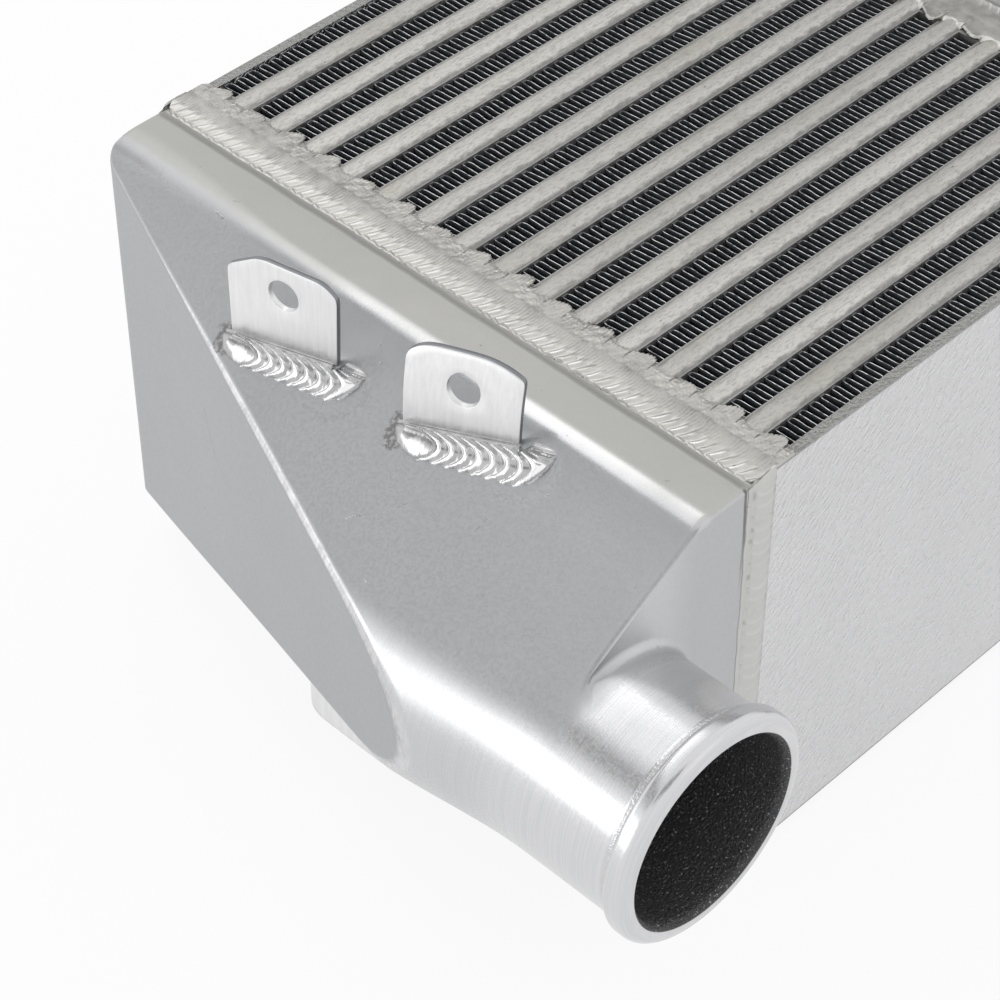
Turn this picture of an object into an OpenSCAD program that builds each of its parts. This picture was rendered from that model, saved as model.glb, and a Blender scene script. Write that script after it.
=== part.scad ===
// Air-to-air intercooler: a bar-and-plate core between two cast end tanks, each with a hose stub.
// X runs along the charge-air passages, Y through the stack of rows, Z up along the cooling air.
// The origin is the centre of the outline on the plane the part rests on.

/* [Core] */
// Length of the rows that can be seen between the two seam welds
row_l = 177; // [150:1:400]
// Thickness of the core along the cooling air
core_t = 150; // [130:1:180]
// Height of a cooling-air row, from sheet to sheet
fin_h = 7.1; // [6:0.1:9]
// Width of the closing bar of a charge-air passage
bar_w = 6.7; // [5:0.1:8]
// Depth of a closing bar into the core
bar_depth = 12; // [8:1:20]
// How far the rounded nose of a bar stands proud of the core
bar_nose = 1.1; // [0.6:0.1:2]
// Thickness of a separator sheet
sheet_t = 0.6; // [0.4:0.1:1]
// Thickness of the two side plates
side_t = 3.3; // [2:0.1:5]
// Length of the closing bar at each end of a fin row
end_bar = 10; // [9:0.5:14]

/* [Fins] */
// Spacing of the folds of the cooling-air fins
fin_pitch = 4.4; // [3.6:0.1:6]
// Spacing of the folds of the charge-air fins
turb_pitch = 5; // [4:0.1:8]
// Thickness of the fin strip
fin_stock = 0.35; // [0.2:0.05:0.5]
// Width of the flat crest of a fold
crest_w = 0.9; // [0.6:0.1:1.4]
// How far the fins stay below the face of the core
fin_inset = 0.8; // [0.5:0.1:2]

/* [Tank] */
// Wall thickness of the castings
wall = 4; // [3:0.1:6]
// Slope of the upper face of a tank, in degrees
slope_a = 31.3; // [28:0.1:36]
// Angle between the flared side and the stack, in degrees
flare_a = 19; // [15:0.5:22]
// Depth of a tank where the flared side starts
flare_d = 38; // [34:0.5:44]
// Radius of the rounded nose along a tank
nose_r = 33.5; // [30:0.1:36]
// Distance of the nose axis from the row ends
nose_d = 69.2; // [62:0.1:80]
// Distance of the nose axis below the top face
nose_drop = 61; // [56:0.1:68]
// Rounding between the top band and the slope
band_r = 10; // [6:0.5:16]
// Rounding of the shallow end of a tank
end_r = 10; // [6:0.5:16]
// Width of the bevel along the fold between slope and flared side
fold_w = 3; // [1:0.1:5]

/* [Hose stub] */
// Outside diameter of the stub
stub_od = 63.5; // [58:0.1:66]
// Diameter of the opening
bore_d = 55.6; // [50:0.1:57]
// How far the stub stands out from the side plate
stub_l = 37.6; // [30:0.1:60]
// Distance of the stub axis from the row ends
stub_d = 67.7; // [64:0.1:72]
// Distance of the stub axis below the top face
stub_drop = 57.9; // [55:0.1:62]
// Outside diameter of the raised lip
lip_od = 68; // [66.5:0.1:70]
// Length of the raised lip
lip_w = 7; // [5:0.1:12]
// Radius of the fillet where the stub leaves the tank
root_r = 6; // [3:0.5:8]
// Length over which the nose narrows to the stub
taper_l = 60; // [30:1:90]

/* [Seam welds] */
// Width of the weld on the upper and lower faces
seam_w = 15.8; // [12:0.1:20]
// Width of the weld on the side plates
corner_w = 10.7; // [8:0.1:14]
// How far a weld stands proud
bead_h = 1.8; // [1.2:0.1:2.4]
// How far the weld tongues reach over the fin rows
tongue_l = 3.5; // [2:0.1:5]

/* [Mounting tabs] */
// Width of a tab
tab_w = 35; // [30:0.5:40]
// Thickness of a tab
tab_t = 2; // [2:0.1:4]
// How far an upper tab rises above the top face
tab_rise = 16.5; // [14:0.5:24]
// Diameter of the bolt hole in a tab
tab_hole_d = 9.6; // [6:0.1:11]
// Height of the bolt hole above the top face
tab_hole_z = 7; // [5:0.5:10]
// How far the lower tab hangs below its root
lower_tab_h = 26; // [24:0.5:32]
// Radius of the drops that make up a fillet weld
drop_r = 6.5; // [5.5:0.1:7.5]
// Spacing of the drops
drop_pitch = 3.4; // [2.8:0.1:4]

/* [Hidden] */
$fn = 64;
rows = 15;
passages = rows - 1;
pass_w = bar_w + 2 * sheet_t;
row_pitch = fin_h + pass_w;
stack_w = rows * fin_h + passages * pass_w + 2 * side_t;
half_w = stack_w / 2;

// The core runs on under the weld to where the casting begins.
joint_d = 7.5;
core_x = row_l / 2 + joint_d;
fin_x = core_x - end_bar;
corner_d = joint_d - 1.2;

// The stack sits off the origin, so that the outline with its stubs is centred on it.
stack_y = (stub_l - bead_h) / 2;
bottom_z = bead_h;
top_z = bottom_z + core_t;

// Lines of a tank's section, as a normal direction and a distance, in its own frame.
// There x is the depth from the row ends, and z is the height above the underside of the core.
nose_z = core_t - nose_drop;
stub_z = core_t - stub_drop;
foot_d = joint_d + 9;
// The slopes cut just inside the nose, so that they cross it and don't only touch it.
bite = 0.985;
upper_bite = 0.995;
foot_reach = norm([nose_d - foot_d, nose_z]);
under_a = atan2(nose_z, nose_d - foot_d) - asin(bite * nose_r / foot_reach);
upper_c = sin(slope_a) * nose_d + cos(slope_a) * nose_z + upper_bite * nose_r;
under_c = sin(under_a) * nose_d - cos(under_a) * nose_z + bite * nose_r;
flare_c = cos(flare_a) * flare_d + sin(flare_a) * half_w;
// Depths at which the slope leaves the top face and the underside.
crest_d = (upper_c - cos(slope_a) * core_t) / sin(slope_a);
reach = nose_d + nose_r + 10;

stub_r = stub_od / 2;
lip_r = lip_od / 2;
bore_r = bore_d / 2;
lip_round = min(1.8, (lip_r - stub_r) * 0.7);
skin = 1;
taper_step = 0.15;
hole_play = 40;

silver = [0.80, 0.81, 0.82];
cast_grey = [0.70, 0.71, 0.72];
cream = [0.78, 0.77, 0.73];
bar_grey = [0.72, 0.72, 0.70];
fin_grey = [0.45, 0.46, 0.47];
bright = [0.90, 0.91, 0.92];

function two(i) = str(i < 10 ? "0" : "", i);
function fin_name(i) = str("core_air_fin_", two(i));
function passage_name(i) = str("core_passage_", two(i));
function turb_name(i) = str("turbulator_", two(i));
// Middle of a cooling-air row and of a charge-air passage, counted from the shallow side.
function row_y(i) = stack_y + half_w - side_t - fin_h / 2 - (i - 1) * row_pitch;
function passage_y(i) = row_y(i) - row_pitch / 2;
function arc(cx, cy, r, a0, a1, n) =
    [for (k = [0:n]) let (a = a0 + (a1 - a0) * k / n) [cx + r * cos(a), cy + r * sin(a)]];

// Folded strip: the outline of a wave with flat crests, one fold after another along x.
// side is 1 for its upper path and -1 for its lower one.
function wave_path(count, pitch, height, side) =
    let (half = pitch / 2, a = (height - fin_stock) / 2, run = half - crest_w,
         slant = atan2(2 * a, run), miter = tan(slant / 2) * fin_stock / 2)
    [for (k = [0:count - 1])
        let (up = k % 2 == 0 ? 1 : -1, x0 = (k - count / 2) * half + run / 2, m = up * side * miter)
        each [[x0 - m, up * a + side * fin_stock / 2], [x0 + crest_w + m, up * a + side * fin_stock / 2]]];

module folded_strip(length, pitch, height) {
    count = 2 * floor(length / pitch);
    polygon(concat(wave_path(count, pitch, height, 1), [for (p = [len(wave_path(count, pitch, height, -1)) - 1:-1:0])
        wave_path(count, pitch, height, -1)[p]]));
}

// Cooling-air fin: folds along x, open from the lower face of the core to the upper.
module air_fin(i) {
    color(fin_grey)
        translate([0, row_y(i), bottom_z + fin_inset])
            linear_extrude(core_t - 2 * fin_inset)
                folded_strip(2 * fin_x, fin_pitch, fin_h);
}

// Charge-air fin: folds up the passage, open from tank to tank.
module turbulator(i) {
    color(fin_grey)
        translate([-core_x, passage_y(i), bottom_z + core_t / 2])
            rotate([90, 0, 90])
                linear_extrude(2 * core_x)
                    rotate([0, 0, 90])
                        folded_strip(core_t - 2 * bar_depth - 1, turb_pitch, bar_w);
}

// Rounded nose of a closing bar, standing on the plane z = 0 over the seen length of the row.
module bar_nose() {
    r = (bar_w * bar_w / 4 + bar_nose * bar_nose) / (2 * bar_nose);
    intersection() {
        translate([-row_l / 2, 0, bar_nose - r])
            rotate([0, 90, 0])
                cylinder(h = row_l, r = r);
        translate([-row_l / 2, -bar_w / 2, -1])
            cube([row_l, bar_w, bar_nose + 2]);
    }
}

// Closing bars at the two ends of a fin row.
module end_bars(y) {
    for (x = [-core_x, fin_x])
        translate([x, y - fin_h / 2, bottom_z])
            cube([end_bar, fin_h, core_t]);
}

// One charge-air passage: two separator sheets and the bars that close it above and below.
module passage(i) {
    y = passage_y(i);
    color(bar_grey) union() {
        difference() {
            translate([-core_x, y - pass_w / 2, bottom_z])
                cube([2 * core_x, pass_w, core_t]);
            translate([-core_x - 1, y - bar_w / 2, bottom_z + bar_depth])
                cube([2 * core_x + 2, bar_w, core_t - 2 * bar_depth]);
        }
        translate([0, y, top_z])
            bar_nose();
        end_bars(row_y(i + 1));
    }
}

module side_plate_rear() {
    color(silver) union() {
        translate([-core_x, stack_y + half_w - side_t, bottom_z])
            cube([2 * core_x, side_t, core_t]);
        end_bars(row_y(1));
    }
}

module side_plate_front() {
    color(silver)
        translate([-core_x, stack_y - half_w, bottom_z])
            cube([2 * core_x, side_t, core_t]);
}

// Places a tank's frame at the far end of the core, and its mirror image at the near end.
module far_end() {
    translate([row_l / 2, stack_y, bottom_z])
        children();
}

module near_end() {
    mirror([1, 0, 0])
        far_end()
            children();
}

// Section of a tank across the stack, w inside its outer face: a flat band, the slope down to
// the nose and the steeper slope back to the foot.
module tank_section(w) {
    r = band_r - w;
    under_x = (under_c - w + cos(under_a) * w) / sin(under_a);
    arc_z = core_t - w - r;
    arc_x = (upper_c - w - r - cos(slope_a) * arc_z) / sin(slope_a);
    polygon(concat(
        [[joint_d - w, w], [under_x, w],
         [nose_d + (bite * nose_r - w) * sin(under_a), nose_z - (bite * nose_r - w) * cos(under_a)],
         [nose_d + (upper_bite * nose_r - w) * sin(slope_a),
          nose_z + (upper_bite * nose_r - w) * cos(slope_a)]],
        arc(arc_x, arc_z, r, 90 - slope_a, 90, 5),
        [[joint_d - w, core_t - w]]));
}

// Outline of a tank seen from above, w inside its outer face: the shallow end is rounded, and
// the flared side runs out until the nose takes over.
module tank_plan(w) {
    r = end_r - w;
    top = half_w - w;
    arc_x = (flare_c - w - r - sin(flare_a) * (top - r)) / cos(flare_a);
    polygon(concat(
        [[joint_d - w, -top], [reach, -top], [reach, (flare_c - w - cos(flare_a) * reach) / sin(flare_a)]],
        arc(arc_x, top - r, r, flare_a, 90, 7),
        [[joint_d - w, top]]));
}

module wedge(w) {
    translate([0, half_w, 0])
        rotate([90, 0, 0])
            linear_extrude(stack_w)
                tank_section(w);
}

// Rounded nose of radius r as far as the taper.
module nose(r) {
    translate([nose_d, half_w, nose_z])
        rotate([90, 0, 0])
            cylinder(h = stack_w - taper_l, r = r);
}

// Lower end of the nose, which narrows and shifts until it is the stub.
// Its flats stay a little inside the round nose and stub, and it starts inside the nose.
module nose_taper(from_r, to_r) {
    thin = 0.01;
    hull() {
        translate([nose_d, thin + taper_l + wall / 2 - half_w, nose_z])
            rotate([90, 0, 0])
                cylinder(h = thin, r = from_r - taper_step);
        translate([stub_d, thin - half_w, stub_z])
            rotate([90, 0, 0])
                cylinder(h = thin, r = to_r - taper_step);
    }
}

module in_plan(w) {
    intersection() {
        children();
        translate([0, 0, -1])
            linear_extrude(core_t + 2)
                tank_plan(w);
    }
}

// Space that a bevel takes off the fold between a slope and the flared side.
// The bevel faces half-way between them; tilt is the slope's rise as seen on that side.
module fold_bevel(tilt, c, z_side) {
    up = [sin(tilt), 0, z_side * cos(tilt)];
    out = [cos(flare_a), sin(flare_a), 0];
    mid = (up + out) / norm(up + out);
    turn = acos(up * out);
    // A point of the fold, on both planes, at mid-stack.
    x = flare_c / cos(flare_a);
    z = z_side * (c - sin(tilt) * x) / cos(tilt);
    translate([x, 0, z])
        rotate([0, -asin(mid[2]), atan2(mid[1], mid[0])])
            translate([-fold_w / 2 * tan(turn / 2), -2 * stack_w, -50])
                cube([100, 4 * stack_w, 100]);
}

// Fillet round the root of the stub, on the end face of the tank.
module root_fillet() {
    intersection() {
        translate([stub_d, -half_w, stub_z])
            rotate([90, 0, 0])
                rotate_extrude()
                    difference() {
                        square([stub_r + root_r, root_r]);
                        translate([stub_r + root_r, root_r])
                            circle(r = root_r);
                    }
        translate([0, -stack_w, 0])
            wedge(0);
    }
}

// Stub with its raised lip: s runs back from the mouth.
module stub_outside() {
    translate([stub_d, -half_w - stub_l, stub_z])
        rotate([-90, 0, 0]) {
            cylinder(h = stub_l + skin, r = stub_r - 0.4 * skin);
            rotate_extrude()
                polygon(concat(
                    [[bore_r - skin, 0]],
                    arc(lip_r - lip_round, lip_round, lip_round, -90, 0, 5),
                    arc(lip_r - lip_round, lip_w - lip_round, lip_round, 0, 60, 4),
                    [[stub_r, lip_w + 0.8], [stub_r, stub_l], [bore_r - skin, stub_l]]));
        }
}

module bore() {
    edge = 0.7;
    translate([stub_d, -half_w - stub_l, stub_z])
        rotate([-90, 0, 0]) {
            translate([0, 0, -1])
                cylinder(h = stub_l + 1.75 * wall, r = bore_r);
            translate([0, 0, -edge])
                cylinder(h = 2 * edge, r1 = bore_r + 2 * edge, r2 = bore_r);
        }
}

// Cast end tank: a wedge that leans on a rounded nose, cut off by the flared side, hollow and
// open towards the core, with its hose stub.
module tank() {
    color(cast_grey) difference() {
        union() {
            difference() {
                in_plan(0) {
                    wedge(0);
                    nose(nose_r);
                    nose_taper(nose_r, stub_r);
                }
                fold_bevel(slope_a, upper_c, 1);
                fold_bevel(under_a, under_c, -1);
            }
            root_fillet();
            stub_outside();
        }
        in_plan(wall) {
            wedge(wall);
            nose(nose_r - wall);
            nose_taper(nose_r - wall, bore_r + 6 * taper_step);
        }
        bore();
    }
}

// Dome of a weld: width w, lying along y, standing on z = 0, from x = 0.
module bead(w, length) {
    r = (w * w / 4 + bead_h * bead_h) / (2 * bead_h);
    intersection() {
        translate([w / 2, -length / 2, bead_h - r])
            rotate([-90, 0, 0])
                cylinder(h = length, r = r);
        translate([0, -length / 2, 0])
            cube([w, length, bead_h + 1]);
    }
}

// Ragged tongue of the seam weld, reaching over the front part of a row's end.
module tongue(y) {
    h = fin_h / 2;
    translate([0, y, core_t])
        linear_extrude(bead_h * 0.6)
            polygon([[1.5, h], [0, h * 0.9], [-0.3 * tongue_l, h * 0.35], [-0.6 * tongue_l, -h * 0.1],
                     [-tongue_l, -h * 0.45], [-0.7 * tongue_l, -h * 0.95], [1.5, -h]]);
}

// Weld round the joint of core and tank: a bead on each face and a tongue at each row.
module seam_weld() {
    color(cream) union() {
        translate([0, 0, core_t])
            bead(seam_w, stack_w);
        mirror([0, 0, 1])
            bead(seam_w, stack_w);
        for (s = [-1, 1])
            translate([corner_d, s * half_w, core_t / 2])
                rotate([-90 * s, 0, 0])
                    bead(corner_w, core_t + 1.6 * bead_h);
        for (i = [1:rows])
            tongue(row_y(i) - stack_y);
    }
}

// Everything under the slope of the upper face, and everything above that of the lower one.
module below_upper_slope() {
    translate([crest_d, 0, core_t])
        rotate([0, slope_a, 0])
            translate([-100, -stack_w, -200])
                cube([300, 2 * stack_w, 200]);
}

module above_lower_slope() {
    translate([foot_d, 0, 0])
        rotate([0, -under_a, 0])
            translate([-100, -stack_w, 0])
                cube([300, 2 * stack_w, 200]);
}

// A tab's own frame: x along it towards the stub, y from its outer face into it, z up.
// d and y are the place of its first lower corner, turn its angle to the stack.
module tab_frame(d, y, turn) {
    translate([d, y, 0])
        rotate([0, 0, -90 - turn])
            mirror([0, 1, 0])
                children();
}

module tab_outline(height) {
    cut = 6;
    polygon([[0, 0], [0, height - 0.7 * cut], [cut, height], [tab_w - 1.2 * cut, height],
             [tab_w, height - 0.7 * cut], [tab_w, 0]]);
}

// Flat plate with a bolt hole: root is the height of its lower edge.
module tab_plate(root, height, hole_z) {
    difference() {
        translate([0, tab_t, root])
            rotate([90, 0, 0])
                linear_extrude(tab_t)
                    tab_outline(height);
        translate([tab_w / 2, -hole_play / 2, hole_z])
            rotate([-90, 0, 0])
                cylinder(h = hole_play, d = tab_hole_d);
    }
}

// Row of overlapping drops along a tab's root, from its first corner round the second.
// fall is how far the drops sink per step away from the tab and along it.
module drops(z0, along_fall, out) {
    for (k = [0:floor(tab_w / drop_pitch)])
        translate([k * drop_pitch + drop_r - 3, -out, z0 - (k * drop_pitch + drop_r) * along_fall])
            sphere(r = drop_r);
}

function slope_z(d) = core_t - (d - crest_d) * tan(slope_a);
function underside_z(d) = (d - foot_d) * tan(under_a);

tab_a = [56.7, 37.5, 11.6];
tab_b = [51.6, -24.4, 17];
tab_c = [63, 6.5, 0];
tab_root = 30;
sink = 2.6;
weld_out = 3.8;

module upper_tab(place) {
    color(bright) difference() {
        tab_frame(place[0], place[1], place[2])
            tab_plate(core_t - tab_root, tab_root + tab_rise, core_t + tab_hole_z);
        below_upper_slope();
    }
}

module upper_tab_weld(place) {
    a = place[2];
    d = place[0] + weld_out * cos(a);
    color(bright) difference() {
        tab_frame(place[0], place[1], a)
            drops(slope_z(d) - sink, -sin(a) * tan(slope_a), weld_out);
        below_upper_slope();
        tab_frame(place[0], place[1], a)
            translate([-50, 0, 0])
                cube([50 + tab_w, 50, 2 * core_t]);
    }
}

module lower_tab() {
    root = underside_z(tab_c[0]);
    color(bright) difference() {
        tab_frame(tab_c[0], tab_c[1], tab_c[2])
            mirror([0, 0, 1])
                tab_plate(-root - 5, lower_tab_h + 5, lower_tab_h / 2 - root + 2);
        above_lower_slope();
    }
}

module lower_tab_weld() {
    d = tab_c[0] + weld_out;
    color(bright) difference() {
        tab_frame(tab_c[0], tab_c[1], tab_c[2])
            drops(underside_z(d) + sink, 0, weld_out);
        above_lower_slope();
        tab_frame(tab_c[0], tab_c[1], tab_c[2])
            translate([-50, 0, -core_t])
                cube([50 + tab_w, 50, 3 * core_t]);
    }
}

near_end() tank();  // tank_near
far_end() tank();  // tank_far
near_end() seam_weld();  // seam_weld_near
far_end() seam_weld();  // seam_weld_far
side_plate_front();
side_plate_rear();
near_end() upper_tab(tab_a);  // mount_tab_a
near_end() upper_tab(tab_b);  // mount_tab_b
near_end() lower_tab();  // mount_tab_c
near_end() upper_tab_weld(tab_a);  // tab_weld_a
near_end() upper_tab_weld(tab_b);  // tab_weld_b
near_end() lower_tab_weld();  // tab_weld_c
for (i = [1:rows])
    air_fin(i);
for (i = [1:passages])
    passage(i);
for (i = [1:passages])
    turbulator(i);
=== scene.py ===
import math
from collections import namedtuple
from functools import reduce

import bpy
import numpy as np
from bpy.props import FloatProperty, FloatVectorProperty, PointerProperty
from mathutils import Matrix, Vector


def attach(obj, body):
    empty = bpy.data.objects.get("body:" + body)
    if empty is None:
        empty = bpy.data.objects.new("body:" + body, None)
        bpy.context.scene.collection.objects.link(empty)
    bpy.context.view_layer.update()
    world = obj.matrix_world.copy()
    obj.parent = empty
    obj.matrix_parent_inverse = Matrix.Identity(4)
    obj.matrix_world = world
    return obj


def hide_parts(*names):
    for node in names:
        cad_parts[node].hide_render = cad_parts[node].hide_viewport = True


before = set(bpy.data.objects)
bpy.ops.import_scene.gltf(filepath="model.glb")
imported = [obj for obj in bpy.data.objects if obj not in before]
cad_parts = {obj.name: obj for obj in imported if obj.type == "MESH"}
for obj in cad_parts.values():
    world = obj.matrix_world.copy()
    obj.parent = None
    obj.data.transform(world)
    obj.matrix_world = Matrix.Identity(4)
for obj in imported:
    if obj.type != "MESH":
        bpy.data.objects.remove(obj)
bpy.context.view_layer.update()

bl_info = {
    "name": "Intercooler finish",
    "version": (1, 0, 0),
    "blender": (4, 5, 0),
    "location": "View3D > Sidebar > Intercooler",
    "description": "Dresses the packed intercooler with cast tanks, welds, folded fins and a studio",
    "category": "Object",
}

# Sizes are in millimetres until a mesh is made. A tank has its own frame: d is the depth from the
# ends of the rows, y runs along the stack from its middle, z is the height above the core's underside.
MM = 0.001
ROW_END = 88.5  # half the length of the rows
CORE_PLANE = 7.5  # depth where a casting starts
STACK_Y = 17.9  # middle of the stack in the part's frame
BOTTOM_Z = 1.8  # underside of the core in the part's frame
CORE_T = 150.0  # thickness of the core
HALF_W = 111.85  # half the width of the stack
ROWS = 15
ROW_PITCH = 15.0
FIN_H = 7.1
FIN_X = 86.0  # half the length of a fin
FIN_INSET = 0.8  # how far a fin's edges lie below the bars' faces
FIN_PITCH, FIN_STOCK = 4.38, 0.22
SIDE_T = 3.3

# The casting: a slope from the crest down to a round nose, a slope back to the foot and a flared side.
SLOPE = math.radians(31.3)
FLARE = math.radians(19.0)
SHALLOW_D = 38.0
FLARE_C = math.cos(FLARE) * SHALLOW_D + math.sin(FLARE) * HALF_W
NOSE_D, NOSE_Z, NOSE_R = 69.2, 89.0, 33.5
STUB_D, STUB_Z, STUB_R = 67.7, 92.1, 31.75
TAPER_L = 60.0  # stretch over which the nose becomes the stub
FOOT_D = 16.5
CREST_D = 33.0
END_R = 10.0  # rounded shallow end
END_ROLL = 2.0  # rounded edge of the end face
STUB_L = 37.6
LIP_R, LIP_W, LIP_ROUND, LIP_FRONT = 34.0, 7.0, 1.575, 3.2
BORE_R = 27.8

# A tab stands on its root line, which starts at depth and y and is turned by some degrees. Its hole is
# given along the root line and from the datum, the crest for a tab above. Its top leans back by lean,
# and its weld reaches over the casting by reach. Its edges, seen square on, are lines that face out:
# (towards x, towards z, x, z), with z from the datum.
Tab = namedtuple("Tab", "depth y turn hole_x hole_z lean reach seed below edges")
TABS = {
    "a": Tab(depth=56.7, y=37.5, turn=11.6, hole_x=18.3, hole_z=7.0, lean=0.0, reach=9.0, seed=7,
             below=False, edges=((-1, 0, 0, 0), (1, -0.04, 35.2, 0), (0, 1, 0, 16.5),
                                 (-0.53, 0.85, 9.4, 15.8), (0.6, 0.8, 31.4, 16.5))),
    "b": Tab(depth=51.6, y=-24.4, turn=17.0, hole_x=16.6, hole_z=6.0, lean=4.2, reach=10.2, seed=7,
             below=False, edges=((-1, 0, -0.7, 0), (1, 0, 33.3, 0), (0, 1, 0, 16.5), (-0.6, 0.8, 3.4, 14.7),
                                 (-0.14, 0.99, 14, 16.4), (0.31, 0.95, 25.5, 16.5))),
    "c": Tab(depth=63.0, y=6.5, turn=0.0, hole_x=17.5, hole_z=-11.0, lean=0.0, reach=8.0, seed=23,
             below=True, edges=((-1, 0, 0, 0), (1, 0, 35.0, 0), (0, 1, 0, 0), (-0.62, 0.78, 3, 0),
                                (0.75, 0.66, 30, 0)))}
TAB_W, TAB_T, TAB_RISE, HOLE_R = 35.0, 2.0, 16.5, 4.8
TAB_SINK = 0.3  # how far a plate runs into the casting
LOWER_TAB_H = 26.0
LEAN_FROM = 9.0  # how far below the datum a tab starts to lean
DROP_PITCH = 4.05  # step from drop to drop of a tab weld
BEAD_TOP = 1.78  # most that a seam weld stands proud
UNDER_STEP = 8  # columns of a bead's top for each one of its hidden underside

# Scratches of the near tank, as pairs of points in its frame.
SCRATCHES = (((36.2, 97.2, 148.1), (35.1, 84, 148.7)), ((35.1, 84, 148.7), (34.2, 72, 149.3)),
             ((34.2, 72, 149.3), (35.4, 63.8, 148.6)), ((75.6, -28.1, 124.1), (73, -31.5, 125.7)),
             ((70.6, -35.5, 127.1), (65.8, -39.5, 130.1)), ((65, -60.2, 130.5), (58.7, -61.5, 134.4)),
             ((59.8, 48.5, 103.6), (61.7, 43.1, 90.1)), ((61.7, 43.1, 90.1), (64.5, 35, 84.6)))


# Shape helpers


def smoothstep(t):
    """0 below 0, 1 above 1 and a smooth rise between."""
    t = np.clip(t, 0, 1)
    return t * t * (3 - 2 * t)


def smooth_max(a, b, k):
    """Larger of a and b, where the corner between them is rounded over a band k wide."""
    h = np.maximum(k - np.abs(a - b), 0) / k
    return np.maximum(a, b) + h * h * k / 4


def ripple(x, seed, octaves=3):
    """Smooth pseudo-random wave of x between about -1 and 1: a sum of sines with seeded phases."""
    rng = np.random.default_rng(seed)
    total = np.zeros_like(np.asarray(x, float))
    for k in range(octaves):
        for _ in range(3):
            total = total + np.sin(x * (0.6 + rng.random()) * 2 ** k + rng.random() * 6.283) / 2 ** k
    return total / (3 * 1.6)


def grid_quads(rows, cols, start=0, wrap=True):
    """Quads of a grid of points that are counted row by row; wrap joins the last column to the first."""
    r, c = np.meshgrid(np.arange(rows - 1), np.arange(cols if wrap else cols - 1), indexing="ij")
    a = start + r * cols + c
    b = start + r * cols + (c + 1) % cols
    return np.stack([a, b, b + cols, a + cols], -1).reshape(-1, 4)


def closed_tube(rings):
    """Closed skin through rings (count, points, 3): quads between neighbours and a fan on each end ring."""
    n, k = rings.shape[:2]
    points = np.concatenate([rings.reshape(-1, 3), rings[0].mean(0)[None], rings[-1].mean(0)[None]])
    i = np.arange(k)
    first = np.stack([(i + 1) % k, i, np.full(k, n * k)], -1)
    last = np.stack([(n - 1) * k + i, (n - 1) * k + (i + 1) % k, np.full(k, n * k + 1)], -1)
    return points, grid_quads(n, k), np.concatenate([first, last])


def joined(*parts):
    """Several (points, quads, triangles) as one."""
    points, quads, tris, start = [], [], [], 0
    for p, q, t in parts:
        points.append(p)
        quads.append(q + start)
        tris.append(t + start)
        start += len(p)
    return np.concatenate(points), np.concatenate(quads), np.concatenate(tris)


def outward(points, quads, tris):
    """Turns a closed skin's faces so that it holds a positive volume."""
    flat = np.concatenate([quads[:, [0, 1, 2]], quads[:, [0, 2, 3]], tris])
    a, b, c = (points[flat[:, i]] for i in range(3))
    if np.einsum("ij,ij->i", a, np.cross(b, c)).sum() < 0:
        quads, tris = quads[:, ::-1], tris[:, ::-1]
    return points, quads, tris


def near_place(points):
    """Tank frame to the part's frame, at the near end."""
    d, y, z = points[..., 0], points[..., 1], points[..., 2]
    return np.stack([-(ROW_END + d), STACK_Y + y, BOTTOM_Z + z], -1)


def near_skin(points, quads, tris):
    """A skin in the tank frame, placed at the near end with its faces outward."""
    return outward(near_place(points), quads, tris)


def mirrored(skin):
    """The same skin at the other end of the core."""
    points, quads, tris = skin
    return points * [-1, 1, 1], quads[:, ::-1], tris[:, ::-1]


def add_to_scene(name, data):
    """Object that shows a mesh, a lamp or a camera."""
    thing = bpy.data.objects.new(name, data)
    bpy.context.scene.collection.objects.link(thing)
    return thing


def add_piece(name, skin, material, nodes, zones=None, sharp=35):
    """Makes the mesh object of a skin in millimetres, rides it on the body and hides what it replaces."""
    points, quads, tris = skin
    mesh = bpy.data.meshes.new(name)
    mesh.from_pydata((points * MM).tolist(), [], quads.tolist() + tris.tolist())
    mesh.polygons.foreach_set("use_smooth", np.ones(len(mesh.polygons), bool))
    mesh.set_sharp_from_angle(angle=math.radians(sharp))
    if zones is not None:
        layer = mesh.attributes.new("zones", "FLOAT_COLOR", "POINT")
        layer.data.foreach_set("color", np.asarray(zones, np.float32).ravel())
    mesh.update()
    mesh.materials.append(material)
    piece = add_to_scene(name, mesh)
    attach(piece, "root")
    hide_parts(*nodes)
    return piece


# Tank


def under_angle(d, z, r):
    """Angle at which the lower slope rises from the foot to touch a nose circle."""
    return np.arctan2(z, d - FOOT_D) - np.arcsin(r / np.hypot(d - FOOT_D, z))


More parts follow.
